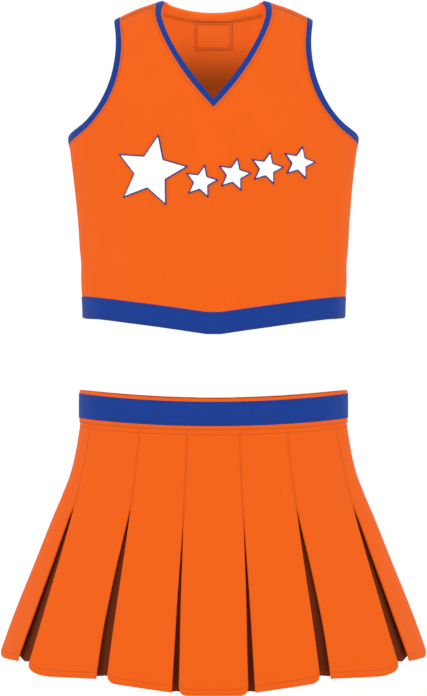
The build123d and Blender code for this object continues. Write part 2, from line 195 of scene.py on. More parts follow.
def even(line, count, close=False):
    """The line again with evenly spaced points, whatever number of columns each point has."""
    line = np.asarray(line, float)
    if close:
        line = np.vstack([line, line[:1]])
    along = distances(line)
    at = np.linspace(0, along[-1], count + 1)[:-1] if close else np.linspace(0, along[-1], count)
    return np.stack([np.interp(at, along, line[:, k]) for k in range(line.shape[1])], axis=1)


def bump(x, middle, width):
    return np.exp(-(((x - middle) / width) ** 2))


def ramp(x, low, high):
    t = np.clip((x - low) / (high - low), 0, 1)
    return t * t * (3 - 2 * t)


# The top's form, as the frame has it: a tapered tube closed by a dome at the shoulders
HEM_Z, UNDERARM_Z, CROWN_Z = 84.0, 293.0, 455.3
HEM_A, CHEST_A = 151.0, 167.5
HEM_B, CHEST_B = 98.0, 110.0
DOMAIN_R = 150.0


def raw_profile(z):
    t = (z - HEM_Z) / (UNDERARM_Z - HEM_Z)
    s = np.clip((z - UNDERARM_Z) / (CROWN_Z - UNDERARM_Z), 0, 0.99995)
    tube = HEM_A + 8.5 * t + 8.0 * t**3, HEM_B + (CHEST_B - HEM_B) * (1 - (1 - t) ** 2)
    dome = CHEST_A * np.sqrt(1 - s**3.2), CHEST_B * np.sqrt(1 - s**1.3)
    return [np.where(z < UNDERARM_Z, low, high) for low, high in zip(tube, dome)]


def profile_table():
    """Heights, half widths, half depths, and the distance up the front, with the underarm's kink smoothed."""
    z = np.arange(50.0, CROWN_Z, 0.1)
    table = []
    kernel = bump(np.arange(-250, 251), 0, 90)
    kernel /= kernel.sum()
    for line in raw_profile(z):
        soft = np.convolve(np.pad(line, 250, mode="edge"), kernel, mode="valid")
        inner = (z > 90) * (1 - ramp(z, 330, 360))
        table.append(line + (soft - line) * inner)
    up = np.concatenate([[0], np.cumsum(np.hypot(np.diff(z), np.diff(table[1])))])
    return z, table[0], table[1], up


TABLE_Z, TABLE_A, TABLE_B, TABLE_UP = profile_table()
SLOPE_A, SLOPE_B = np.gradient(TABLE_A, TABLE_Z), np.gradient(TABLE_B, TABLE_Z)


def half_width(z):
    return np.interp(z, TABLE_Z, TABLE_A)


def torso(turn, z, lift=0.0, drape=1.0):
    """Points on the top, square out by lift. turn is the angle from the centre front towards the wearer's left."""
    turn, z, lift = np.broadcast_arrays(*(np.asarray(v, float) for v in (turn, z, lift)))
    a, b = half_width(z), np.interp(z, TABLE_Z, TABLE_B)
    x, y = a * np.sin(turn), -b * np.cos(turn)
    rise = np.interp(z, TABLE_Z, SLOPE_A) / a * np.sin(turn) ** 2
    rise += np.interp(z, TABLE_Z, SLOPE_B) / b * np.cos(turn) ** 2
    normal = np.stack([np.sin(turn) / a, -np.cos(turn) / b, -rise], axis=-1)
    normal = unit(normal)
    move = lift + drape * drape_depth(turn, z)
    return np.stack([x, y, z], axis=-1) + normal * move[..., None]


def drape_depth(turn, z):
    """Soft waves of the worn cloth: long folds down from the bust and short pulls at the underarms."""
    depth = bpy.context.scene.cheer_top.drape / MM
    folds = np.sin(6 * turn + 0.7) + 0.55 * np.sin(11 * turn + 2.1) + 0.3 * np.sin(17 * turn + 0.4)
    long = (1 - ramp(z, 170, 285)) * folds
    side = np.abs(np.mod(turn, math.pi) - RIGHT_ANGLE)
    pulls = bump(z, 296, 34) * bump(side, 0.42, 0.26) * np.sin((z + 46 * side) / 7.5)
    waist = bump(z, 140, 30) * bump(side, 0.15, 0.45) * np.sin((z - 20 * side) / 8.5) * 0.7
    chest = bump(z, 235, 60) * 0.35 * np.sin(3 * turn + z / 40)
    return depth * (0.75 * long + 0.8 * pulls + waist + chest)


def side_of(x, z, part=FRONT):
    """The turn of a point drawn in the front view. Past the outline it stays on the side seam."""
    turn = np.arcsin(np.clip(x / half_width(z), -1, 1))
    return turn if part == FRONT else math.pi - turn


# Outlines drawn in the front view, for the wearer's left
ARMHOLE_EDGE = [(114.6, 430), (114.0, 424), (111.6, 408), (110.3, 389), (111.6, 369.5), (114.7, 353.4), (120, 337.9),
                (127.4, 323.4), (135.4, 312), (144.5, 303.8), (154, 298.4), (162, 294.2), (170, 289)]
ARMHOLE_SEAM = [(107.6, 431), (106.6, 422), (104.9, 406), (103.5, 390), (104.3, 372.5), (107.1, 354.6), (111.5, 339.4),
                (117.3, 326.3), (124.1, 315.4), (132, 305.6), (141.2, 297), (151.6, 290.2), (161, 284.8), (170, 280.4)]
NECK_EDGE = [(0, 321.4), (21.4, 348.7), (37.6, 373.3), (52, 402.6), (57.6, 419), (59.6, 431), (57.4, 446), (56.2, 453)]
NECK_SEAM = [(0, 312), (16.8, 331.4), (32.8, 353), (49.4, 381.6), (61.3, 409), (66, 427), (66, 445), (65.5, 451)]
BACK_NECK_DIP, BACK_NECK_END = 443.0, (56.0, 449.5)
BAND_TALL, HEM_POINT_DROP, HEM_POINT_FLAT = 24.0, 21.0, 8.0


def inside_outline(line):
    """The stretch of a front-view line that lies within the top's outline, ended on the outline."""
    over = np.abs(line[:, 0]) - half_width(line[:, 1])
    inside = np.flatnonzero(over < 0)
    first, last = inside[0], inside[-1]
    kept = line[first : last + 1]
    ends = []
    for a, b in ((first - 1, first), (last, last + 1)):
        if a < 0 or b >= len(line):
            ends.append(None)
        else:
            share = over[a] / (over[a] - over[b])
            ends.append(line[a] + share * (line[b] - line[a]))
    if ends[0] is not None:
        kept = np.vstack([ends[0], kept])
    if ends[1] is not None:
        kept = np.vstack([kept, ends[1]])
    return kept


def on_top(line, count, part=FRONT):
    """A front-view line as (turn, z) rows, spaced evenly over the top's surface."""
    turn = side_of(line[:, 0], line[:, 1], part)
    points = torso(turn, line[:, 1], 0, 0)
    packed = np.column_stack([points, turn, line[:, 1]])
    along = distances(points)
    at = np.linspace(0, along[-1], count)
    return np.stack([np.interp(at, along, packed[:, k]) for k in (3, 4)], axis=1)


def between(seam, edge, share):
    """A front-view line part of the way from a binding's seam (0) to its edge (1)."""
    return smooth_line(seam) + share * (smooth_line(edge) - smooth_line(seam))


def moved_in(line, by):
    """A front-view line moved square to itself, to its right as it runs."""
    run = unit(np.gradient(line, axis=0))
    return line + by * np.stack([run[:, 1], -run[:, 0]], axis=1)


def armhole_ring(line, count=84):
    """All round an armhole: down the front and up the back, as (turn, z) rows."""
    front = on_top(inside_outline(line), count)
    front[[0, -1], 0] = RIGHT_ANGLE
    back = front[::-1][1:-1].copy()
    back[:, 0] = math.pi - back[:, 0]
    return np.vstack([front, back])


def half_turns(part, count):
    """Turns from one side seam to the other, across the front or the back."""
    start = -RIGHT_ANGLE if part == FRONT else RIGHT_ANGLE
    return np.linspace(start, start + 2 * RIGHT_ANGLE, count)


def hem_height(x, lift, pointed):
    """Height of the hem's line in the front view."""
    if not pointed:
        return np.full_like(x, HEM_Z + lift)
    share = np.clip((np.abs(x) - HEM_POINT_FLAT) / (HEM_A - HEM_POINT_FLAT), 0, 1)
    return HEM_Z + lift - HEM_POINT_DROP * (1 - share)


def hem_line(turn, lift, pointed):
    z = np.full_like(turn, HEM_Z + lift)
    for _ in range(3):
        z = hem_height(half_width(z) * np.sin(turn), lift, pointed)
    return z


# ---------------------------------------------------------------- meshes


def grid_faces(rows, columns, wrap_rows=False, wrap_columns=False):
    last_row, last_column = rows - (not wrap_rows), columns - (not wrap_columns)
    r, c = np.meshgrid(np.arange(last_row), np.arange(last_column), indexing="ij")
    r, c = r.ravel(), c.ravel()
    r2, c2 = (r + 1) % rows, (c + 1) % columns
    return np.stack([r * columns + c, r * columns + c2, r2 * columns + c2, r2 * columns + c], axis=1).tolist()


def grid_weave(grid):
    """Distances in millimetres across and along a grid, for the cloth's pattern to follow."""
    across = np.linalg.norm(np.diff(grid, axis=1), axis=2).cumsum(axis=1)
    along = np.linalg.norm(np.diff(grid, axis=0), axis=2).cumsum(axis=0)
    across = np.pad(across, ((0, 0), (1, 0)))
    across -= across[:, -1:] / 2
    along = np.pad(along, ((1, 0), (0, 0)))
    return np.stack([across, along, np.zeros_like(across)], axis=-1).reshape(-1, 3)


def vertex_normals(points, faces):
    normals = np.zeros_like(points)
    for face in faces:
        corners = points[face]
        square = np.cross(corners[2] - corners[0], corners[-1] - corners[1])
        normals[face] += square
    return unit(normals)


def open_edges(faces):
    """The edges that only one face has, each in its face's direction."""
    sides = {}
    for face in faces:
        for a, b in zip(face, face[1:] + face[:1]):
            if (b, a) in sides:
                del sides[(b, a)]
            else:
                sides[(a, b)] = True
    return sides


def thicken(points, faces, weave, thick, outside=0.5):
    """A sheet given its thickness, with a rounded edge all round. outside is the share of it in front of the points."""
    points = np.asarray(points, float)
    normals = vertex_normals(points, faces)
    count = len(points)
    outer = points + normals * thick * outside
    inner = points - normals * thick * (1 - outside)
    sides = open_edges(faces)
    out_of = np.zeros_like(points)
    for a, b in sides:
        way = np.cross(points[b] - points[a], normals[a] + normals[b])
        out_of[a] += way
        out_of[b] += way
    out_of = unit(out_of)
    rim = sorted({a for a, _ in sides})
    place = {v: 2 * count + i for i, v in enumerate(rim)}
    middle = (outer[rim] + inner[rim]) / 2 + out_of[rim] * thick * 0.45
    all_points = np.vstack([outer, inner, middle])
    all_faces = [list(f) for f in faces] + [[v + count for v in reversed(f)] for f in faces]
    for a, b in sides:
        all_faces.append([b, a, place[a], place[b]])
        all_faces.append([place[b], place[a], a + count, b + count])
    # the inner shell and rim are marked as the lining face; the materials put their painted shade and glow there on the
    # top, and keep the painted pleat shade to the underlays' outer face
    inside = weave * (1, 1, 0) + (0, 0, 1)
    return all_points, all_faces, np.vstack([weave * (1, 1, 0), inside, inside[rim]])


def piece(name, points, faces, weave, material, slot, body=None, sharp=None):
    """A mesh object from points in millimetres, on a material slot and riding on a body. The slot argument is not used.
    """
    mesh = bpy.data.meshes.new(name)
    mesh.from_pydata((np.asarray(points, float) * MM).tolist(), [], faces)
    mesh.validate()
    mesh.update()
    mesh.shade_smooth()
    if sharp is not None:
        mesh.set_sharp_from_angle(angle=math.radians(sharp))
    if weave is not None:
        layer = mesh.attributes.new("weave", "FLOAT_VECTOR", "POINT")
        layer.data.foreach_set("vector", np.asarray(weave, np.float32).ravel())
    mesh.materials.append(bpy.data.materials[material])
    obj = bpy.data.objects.new(name, mesh)
    bpy.context.scene.collection.objects.link(obj)
    if body is not None:
        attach(obj, body)
    return obj


def lay(grid):
    """Works out the size a cloth piece's pattern is cut to, the modelled sheet's own width and length, and does nothing
    more with it.
    """
    wide = np.linalg.norm(np.diff(grid, axis=1), axis=2).sum(axis=1).max()
    long = np.linalg.norm(np.diff(grid, axis=0), axis=2).sum(axis=0).max()
    wide, long = round(wide * MM, 4), round(long * MM, 4)


def inside_polygon(points, polygon):
    x, y = points[:, 0], points[:, 1]
    inside = np.zeros(len(points), bool)
    ahead = np.roll(polygon, -1, axis=0)
    for (x1, y1), (x2, y2) in zip(polygon, ahead):
        crosses = (y1 > y) != (y2 > y)
        with np.errstate(divide="ignore", invalid="ignore"):
            inside ^= crosses & (x < (x2 - x1) * (y - y1) / (y2 - y1) + x1)
    return inside


def gap_to(points, polygon):
    """Distance of each point from the nearest of a polygon's corners."""
    best = np.full(len(points), np.inf)
    for corner in polygon:
        best = np.minimum(best, np.hypot(*(points - corner).T))
    return best


def patchwork(outline, spacing, rings=()):
    """Triangles that fill an outline, with an even scatter of points inside it and a row of points in from its edge."""
    low, high = outline.min(axis=0), outline.max(axis=0)
    dots = []
    for i, y in enumerate(np.arange(low[1], high[1], spacing * 0.866)):
        x = np.arange(low[0] + (i % 2) * spacing / 2, high[0], spacing)
        dots.append(np.column_stack([x, np.full(len(x), y)]))
    dots = np.vstack(dots)
    dots = dots[inside_polygon(dots, outline)]
    dots = dots[gap_to(dots, outline) > spacing * 0.62]
    for ring in rings:
        ring = ring[inside_polygon(ring, outline)]
        dots = dots[gap_to(dots, ring) > spacing * 0.5]
        dots = np.vstack([dots, ring])
    every = np.vstack([outline, dots])
    n = len(outline)
    edges = [(i, (i + 1) % n) for i in range(n)]
    points, _, faces, origins, _, _ = delaunay_2d_cdt([Vector(p) for p in every], edges, [], 1, 1e-5, True)
    points = np.array([list(p) for p in points])
    middles = np.array([points[list(f)].mean(axis=0) for f in faces])
    kept = inside_polygon(middles, outline)
    return points, [list(f) for f, inside in zip(faces, kept) if inside], origins


def domain_to_top(points):
    """From the flat plan of the top, (turn times a radius, distance up the front), to (turn, z)."""
    return points[:, 0] / DOMAIN_R, np.interp(points[:, 1], TABLE_UP, TABLE_Z)


def top_to_domain(rows):
    return np.column_stack([rows[:, 0] * DOMAIN_R, np.interp(rows[:, 1], TABLE_Z, TABLE_UP)])


def inset_ring(outline, by):
    """An outline's points moved in by a distance, for a closed outline that runs anticlockwise."""
    run = unit(np.roll(outline, -1, axis=0) - np.roll(outline, 1, axis=0))
    return outline + by * np.stack([-run[:, 1], run[:, 0]], axis=1)


def anticlockwise(outline):
    x, y = outline.T
    area = (x * np.roll(y, -1) - np.roll(x, -1) * y).sum()
    return outline if area > 0 else outline[::-1]


def panel(name, outline, spacing, lift, tuck, thick, material, slot, body):
    """A panel of the top cut to an outline in the flat plan. Its edge tucks in by tuck where it meets a seam."""
    outline = anticlockwise(outline)
    ring = inset_ring(outline, 1.8)
    flat, faces, origins = patchwork(outline, spacing, [ring])
    edge = np.array([any(i < len(outline) for i in found) for found in origins])
    turn, z = domain_to_top(flat)
    points = torso(turn, z, lift - tuck * edge)
    weave = np.column_stack([flat, np.zeros(len(flat))])
    middle = points[[f[0] for f in faces]]
    first = np.cross(points[[f[1] for f in faces]] - middle, points[[f[2] for f in faces]] - middle)
    out = middle * (1, 1, 0)
    if (first * out).sum() < 0:
        faces = [f[::-1] for f in faces]
    points, faces, weave = thicken(points, faces, weave, thick, outside=0.0)
    return piece(name, points, faces, weave, material, slot, body)


def grid_piece(name, grid, material, slot, body=None, wrap_rows=False, wrap_columns=False, thick=None, outside=0.5,
               holes=None, sharp=None):
    """A mesh from a grid of points; a thick one is a sheet, and holes says which of its faces to leave out."""
    rows, columns = grid.shape[:2]
    faces = grid_faces(rows, columns, wrap_rows, wrap_columns)
    if holes is not None:
        faces = [f for f in faces if not holes(grid.reshape(-1, 3)[f].mean(axis=0))]
    points, weave = grid.reshape(-1, 3), grid_weave(grid)
    if thick:
        points, faces, weave = thicken(points, faces, weave, thick, outside)
    # lining pieces are marked as lining face all over, so they take its painted shade and painted glow
    if material == "double_knit_lining":
        weave[:, 2] = 1
    return piece(name, points, faces, weave, material, slot, body, sharp)


THREAD_SIDES = 6


def stitches(name, lines, material, slot, body=None, pitch=None, radius=None):
    """Runs of stitches along lines of (points, outward normals), each stitch a short arch of thread."""
    sizes = bpy.context.scene.cheer_stitches
    pitch, long, radius = (pitch or sizes.pitch / MM), sizes.long / MM, (radius or sizes.thread / MM)
    angles = np.arange(THREAD_SIDES) * 2 * math.pi / THREAD_SIDES
    shares = np.array([0.0, 0.12, 0.5, 0.88, 1.0])
    girths = np.array([0.45, 1.0, 1.05, 1.0, 0.45]) * radius
    sink = np.array([-0.9, 0.1, 0.55, 0.1, -0.9]) * radius
    points, faces = [], []
    for line, normals in lines:
        along = distances(line)
        count = int(along[-1] // pitch)
        if count < 1:
            continue
        step = along[-1] / count
        for i in range(count):
            at = i * step + shares * min(long, step * 0.86)
            middle = np.stack([np.interp(at, along, line[:, k]) for k in range(3)], axis=1)
            out = np.stack([np.interp(at, along, normals[:, k]) for k in range(3)], axis=1)
            out /= np.linalg.norm(out, axis=1, keepdims=True)
            run = middle[-1] - middle[0]
            side = np.cross(out, run / np.linalg.norm(run))
            rings = (
                middle[:, None]
                + out[:, None] * (sink[:, None, None] + girths[:, None, None] * np.sin(angles)[None, :, None])
                + side[:, None] * girths[:, None, None] * np.cos(angles)[None, :, None]
            )
            start = len(points) * len(shares) * THREAD_SIDES
            points.append(rings.reshape(-1, 3))
            faces += [[v + start for v in f] for f in grid_faces(len(shares), THREAD_SIDES, wrap_columns=True)]
            faces.append([start + k for k in range(THREAD_SIDES)])
            end = start + (len(shares) - 1) * THREAD_SIDES
            faces.append([end + k for k in reversed(range(THREAD_SIDES))])
    points = np.vstack(points)
    return piece(name, points, faces, None, material, slot, body)


def on_surface(turn, z, lift):
    """A line of stitches' points on the top and the way out of the cloth there."""
    points = torso(turn, z, lift)
    return points, torso(turn, z, lift + 1.0) - points


# ---------------------------------------------------------------- the skirt's form

WAIST_A, WAIST_B = 154.7, 100.0
WAISTBAND_TALL, WAIST_RISE, WAIST_DIP, BAND_BOTTOM_DIP = 36.0, 1.5, 9.5, 7.6
STRIPE_TOP, STRIPE_TALL = 3.5, 27.0
SEAM_ANGLES = (10.8, 31.5, 62.0, 90.0)
RELEASE_SIDE, RELEASE_DROP = -122.0, 19.0
# Each pleat's angle and the gap between its panels, down the skirt, from the centre front's pleat to the side's
PLEAT_LEVELS = (-330, -290, -250, -210, -180, -155, -122, -108, -90, -40)
PLEAT_ANGLES = (
    (9.3, 9.4, 9.65, 9.95, 10.12, 10.3, 10.7, 10.9, 11.1, 11.1),
    (28.8, 29.3, 29.8, 30.2, 30.45, 30.6, 31.4, 32.0, 32.4, 32.3),
    (60.0, 59.5, 59.3, 59.85, 60.35, 60.85, 62.6, 64.2, 65.6, 65.0),
    (93.2, 92.8, 92.3, 91.8, 91.4, 91.0, 90.4, 90.2, 90.0, 90.0),
)
PLEAT_GAPS = (
    (8.0, 6.8, 5.1, 3.5, 2.4, 1.2, 0.0, 0.0, 0.0, 0.0),
    (12.5, 12.0, 11.1, 8.4, 5.8, 3.1, 0.0, 0.0, 0.0, 0.0),
    (23.0, 20.5, 16.1, 11.5, 8.0, 5.0, 0.0, 0.0, 0.0, 0.0),
    (22.0, 19.5, 15.5, 11.0, 7.6, 4.6, 0.0, 0.0, 0.0, 0.0),
)
# Height of the hem at each end of a panel, nearer the centre and further, and its rounded corners' width and height
PANEL_HEMS = ((-321.5, -321.5), (-318.2, -310.8), (-307.4, -311.0), (-298.2, -302.6))
PANEL_CORNERS = ((9.0, 7.5), (10.0, 8.0), (34.0, 12.5), (30.0, 9.0))
SIDE_LINE = [(-20, 151.6), (-36, 152.9), (-47, 154.2), (-62.6, 156.7), (-81.3, 160.4), (-103.3, 167.0), (-125.1, 176.1),
             (-150.2, 186.7), (-181.5, 199.1), (-220.7, 215.0), (-253.6, 228.1), (-285, 239.6), (-324, 252.6)]
FRONT_LINE = [(-20, 96.6), (-36, 98.0), (-60, 101.9), (-80, 105.3), (-110, 110.4), (-141, 116.4), (-170, 124.6),
              (-200, 133.8), (-250, 149.2), (-303, 165.2), (-324, 171.6)]
SKIRT_Z = np.arange(-324.0, -19.5, 0.5)
SKIRT_A = cubic(*np.array(SIDE_LINE[::-1]).T, SKIRT_Z)
SKIRT_B = cubic(*np.array(FRONT_LINE[::-1]).T, SKIRT_Z)


def oval(angle, a, b):
    """Plan position on an ellipse, by its angle in degrees from the centre front towards the wearer's left."""
    angle = np.radians(angle)
    return a * np.sin(angle), -b * np.cos(angle)


def pleat_ring():
    """Each pleat's angle at the waist, the row of the tables it follows and its sense round its quarter."""
    ring = []
    for turn, order, rows in ((0, 1, (0, 1, 2, 3)), (180, -1, (2, 1, 0)), (180, 1, (0, 1, 2)), (360, -1, (3, 2, 1, 0))):
        ring += [(turn + order * SEAM_ANGLES[row], row, turn, order) for row in rows]
    return ring


RING = pleat_ring()
COUNT = len(RING)


def band_z(x, top, dip):
    """Height of a waistband edge in the front view: it dips at the centre front and back."""
    return -top - dip * (1 - np.minimum((x / (WAIST_A + 2)) ** 2, 1))


def release_z(angle):
    return RELEASE_SIDE - RELEASE_DROP * math.cos(math.radians(angle)) ** 2


def pleat_line(pleat, z, gap_share=0.0):
    """The angle of a pleat at heights z, with part of its gap added."""
    _, row, turn, order = RING[pleat % COUNT]
    angle = turn + order * cubic(PLEAT_LEVELS, PLEAT_ANGLES[row], z)
    gap = np.maximum(np.interp(z, PLEAT_LEVELS, PLEAT_GAPS[row]), 0)
    a, b = np.interp(z, SKIRT_Z, SKIRT_A), np.interp(z, SKIRT_Z, SKIRT_B)
    rate = np.hypot(a * np.cos(np.radians(angle)), b * np.sin(np.radians(angle)))
    # the panel further from the centre shows the thickness of its fold, so it stands a little further off
    further = gap_share * order > 0
    wall = further * FOLD_WALL[row] * np.minimum(gap / 3.0, 1)
    return angle + np.degrees((np.sign(gap_share) * (0.2 + wall) + gap_share * gap) / rate)


FOLD_WALL = (0.3, 1.0, 2.8, 0.0)


def panel_order(i):
    """Which of the four kinds of panel this is, counted from the centre, and whether it runs away from the centre."""
    start, end = RING[i][0], RING[(i + 1) % COUNT][0] + (360 if i == COUNT - 1 else 0)
    middle = (start + end) / 2 % 360
    from_centre = min(middle, 360 - middle, abs(180 - middle))
    return int(np.searchsorted(SEAM_ANGLES[:3], from_centre)), middle < 90 or 180 < middle < 270


def panel_hems(i):
    """Hem heights at the start and the end of the panel from pleat i to pleat i + 1."""
    order, away = panel_order(i)
    near, far = PANEL_HEMS[order]
    return (near, far) if away else (far, near)


def corner_lift(distance, order):
    """How far a rounded hem corner rises, by its distance in from the panel's edge."""
    wide, tall = PANEL_CORNERS[order]
    share = np.clip(1 - distance / wide, 0, 1)
    return tall * (1 - np.sqrt(np.maximum(1 - share**2, 0)))


PANEL_ROWS = 62
FACE_COLUMNS = 27


def face_shares():
    """Places across a pleat's face, closer together at its edges and where a corner rounds."""
    even_places = np.linspace(0, 1, FACE_COLUMNS)
    return even_places - 0.55 * np.sin(2 * math.pi * even_places) / (2 * math.pi)


def panel_surface(i):
    """The face of a panel from pleat i to the next, as a grid from the waistband to the hem."""
    j = (i + 1) % COUNT
    whole = 360 if j == 0 else 0
    order, away = panel_order(i)
    shares = face_shares()
    grid = np.zeros((PANEL_ROWS, len(shares), 3))
    top_angle = pleat_line(i, -40.0) + (pleat_line(j, -40.0) + whole - pleat_line(i, -40.0)) * shares
    plan_x, _ = oval(top_angle, WAIST_A, WAIST_B)
    top = band_z(plan_x, WAISTBAND_TALL - 4.0, BAND_BOTTOM_DIP)
    near, far = panel_hems(i)
    hem = near + (far - near) * shares
    wide = panel_row(i, j, whole, np.full(len(shares), -300.0), shares)
    along = distances(wide)
    if order == 0 or not away:
        hem = hem + corner_lift(along, order)
    if order == 0 or away:
        hem = hem + corner_lift(along[-1] - along, order)
    for row, share in enumerate(np.linspace(0, 1, PANEL_ROWS)):
        grid[row] = panel_row(i, j, whole, top + (hem - top) * share, shares)
    return grid


def panel_row(i, j, whole, z, shares):
    """One row across a panel's face: between the full ellipse and the chord from pleat to pleat."""
    first, last = pleat_line(i, z, 0.5), pleat_line(j, z, -0.5) + whole
    angle = first + (last - first) * shares
    a, b = np.interp(z, SKIRT_Z, SKIRT_A), np.interp(z, SKIRT_Z, SKIRT_B)
    curved = np.stack(oval(angle, a, b), axis=1)
    start, end = np.stack(oval(first, a, b), axis=1), np.stack(oval(last, a, b), axis=1)
    chord = start + (end - start) * shares[:, None]
    crown = 1 + (bpy.context.scene.cheer_skirt.crown - 1) * ramp(-z, 60, 300)
    return np.column_stack([chord + crown[:, None] * (curved - chord), z])


def outward(grid):
    """Unit normals of a grid that point away from the skirt's middle."""
    down, across = np.gradient(grid, axis=0), np.gradient(grid, axis=1)
    normal = unit(np.cross(across, down))
    if (normal * grid * (1, 1, 0)).sum() < 0:
        normal = -normal
    return normal


FOLD_STEPS = 5


def folded_panel(i):
    """A panel with its edges rolled over and turned back behind the face, as one sheet. Points lie in mid-cloth."""
    sizes = bpy.context.scene.cheer_skirt
    cloth, fold = sizes.cloth / MM, sizes.fold / MM
    face = panel_surface(i)
    normal = outward(face)
    face = face - normal * cloth / 2
    rows = len(face)
    down = np.linspace(0, 1, rows)
    columns = []
    for edge, step in ((0, 1), (-1, -1)):
        inward = np.cross(normal[:, edge], (0, 0, 1))
        inward = unit(inward * np.sign(((face[:, edge + step] - face[:, edge]) * inward).sum(axis=1, keepdims=True)))
        hem = face[-1, ::step]
        reach_in = distances(hem[:, :2])
        wide = (9.0 + 14.0 * down)[:, None]
        # how far in the face has curved, from its edge's own direction
        run = face[:, ::step] - face[:, edge][:, None]
        ahead, sunk_in = (run * inward[:, None]).sum(axis=2), -(run * normal[:, edge][:, None]).sum(axis=2)
        back = normal[:, edge]
        turned = []
        for share in np.linspace(1, 0.12, 5):
            line = face[:, edge] + inward * (fold + wide * share) - back * (2 * fold + 0.9 * share)
            sag = [np.interp(fold + wide[r, 0] * share, ahead[r], sunk_in[r]) for r in range(rows)]
            line -= back * np.maximum(sag, 0)[:, None]
            above = np.interp(fold + wide[-1, 0] * share, reach_in, hem[:, 2]) + 0.8 - line[-1, 2]
            line[:, 2] += max(above, 0) * down
            turned.append(line)
        for angle in np.linspace(-90, 90, FOLD_STEPS)[:-1]:
            reach = fold * (1 - math.cos(math.radians(angle)))
            sunk = fold * (1 - math.sin(math.radians(angle)))
            turned.append(face[:, edge] + inward * reach - back * sunk)
        columns.append(turned)
    left, right = columns
    # the face's own end columns would lie inside the rolls, so they are left out
    inner = face[:, 1:-1]
    return np.stack(left + [inner[:, k] for k in range(inner.shape[1])] + right[::-1], axis=1)


# ---------------------------------------------------------------- materials


def linear(hex_value):
    """An sRGB hex colour as linear red, green, blue and alpha."""
    values = [int(hex_value.lstrip("#")[i : i + 2], 16) / 255 for i in (0, 2, 4)]
    return [v / 12.92 if v <= 0.04045 else ((v + 0.055) / 1.055) ** 2.4 for v in values] + [1.0]


def add(tree, kind, links=(), **settings):
    """Adds a node. Settings name its properties or sockets, and links are (socket, source socket) pairs."""
    node = tree.nodes.new("ShaderNode" + kind)
    for key, value in settings.items():
        if key in node.bl_rna.properties:
            setattr(node, key, value)
        else:
            node.inputs[key.replace("_", " ")].default_value = value
    for socket, source in links:
        tree.links.new(source, node.inputs[socket])
    return node


def maths(tree, operation, first, second=None, third=None):
    node = add(tree, "Math", operation=operation)
    for i, value in enumerate((first, second, third)):
        if value is None:
            continue
        if isinstance(value, (int, float)):
            node.inputs[i].default_value = value
        else:
            tree.links.new(value, node.inputs[i])
    return node.outputs[0]


def new_material(name, **shader):
    material = bpy.data.materials.new(name)
    material.use_nodes = True
    tree = material.node_tree
    surface = tree.nodes["Principled BSDF"]
    for key, value in shader.items():
        surface.inputs[key.replace("_", " ")].default_value = value
    return material, tree, surface


def weave_axes(tree):
    """Distances across and along the cloth in millimetres, carried by the mesh."""
    attribute = add(tree, "Attribute", attribute_name="weave")
    split = add(tree, "SeparateXYZ", [(0, attribute.outputs["Vector"])])
    return split.outputs[0], split.outputs[1], attribute.outputs["Vector"]


def mottled(tree, hex_value, spread, size_mm, vector=None):
    """A base colour that drifts a little lighter and darker, as dye takes unevenly."""
    if vector is None:
        vector = add(tree, "TexCoord").outputs["Object"]
        scale = 1000.0 / size_mm
    else:
        scale = 1.0 / size_mm
    noise = add(tree, "TexNoise", [("Vector", vector)], Scale=scale, Detail=3.0, Roughness=0.55)
    dark, light = linear(hex_value), linear(hex_value)
    dark[:3] = [v * (1 - spread) for v in dark[:3]]
    light[:3] = [min(1.0, v * (1 + spread)) for v in light[:3]]
    mix = add(tree, "Mix", [(0, noise.outputs[0])], data_type="RGBA")
    mix.inputs[6].default_value, mix.inputs[7].default_value = dark, light
    return mix.outputs[2]


def knit_height(tree, wale, course):
    """Height of a plain knit: columns of V-shaped loops, wale across and course along."""
    across, along, _ = weave_axes(tree)
    column = maths(tree, "DIVIDE", across, wale)
    lean = maths(tree, "PINGPONG", column, 0.5)
    row = maths(tree, "ADD", maths(tree, "DIVIDE", along, course), maths(tree, "MULTIPLY", lean, 1.5))
    loops = maths(tree, "SINE", maths(tree, "MULTIPLY", row, 2 * math.pi))
    valley = maths(tree, "POWER", maths(tree, "MULTIPLY", lean, 2.0), 0.6)
    return maths(tree, "ADD", maths(tree, "MULTIPLY", loops, 0.35), valley)


def finish_bump(tree, surface, height, distance, strength=0.6):
    relief = add(tree, "Bump", [("Height", height)], Strength=strength, Distance=distance)
    tree.links.new(relief.outputs["Normal"], surface.inputs["Normal"])


WALE_MM, COURSE_MM = 1.5, 1.2


def knit_material(name, hex_value, wale=WALE_MM, course=COURSE_MM, spread=0.035, sheen=0.0, depth=0.00012, inside=None):
    """Polyester double knit, weft-knitted on fine needles: matt, with soft upright ribs and a faint bloom of
    filament sheen. Its loops are really 0.6 mm wide and are drawn at 1.5 mm so that they show."""
    material, tree, surface = new_material(
        name, Roughness=0.85, Specular_IOR_Level=0.12, Sheen_Weight=sheen, Sheen_Roughness=0.45, IOR=1.53
    )
    colour_out = mottled(tree, hex_value, spread, 60.0)
    if inside:
        colour_out = inside_colour(tree, surface, colour_out, *inside)
    height = knit_height(tree, wale, course)
    # painted shade and highlight: the colour darkens a little in the valleys between the loops and lightens on their
    # crests
    shade = maths(tree, "MULTIPLY_ADD", height, 0.055, 0.955)
    tint = add(tree, "Mix", [(6, colour_out)], data_type="RGBA", blend_type="MULTIPLY")
    tint.inputs[0].default_value = 1.0
    combined = add(tree, "CombineColor", [(0, shade), (1, shade), (2, shade)])
    tree.links.new(combined.outputs[0], tint.inputs[7])
    tree.links.new(tint.outputs[2], surface.inputs["Base Color"])
    finish_bump(tree, surface, height, depth)
    return material


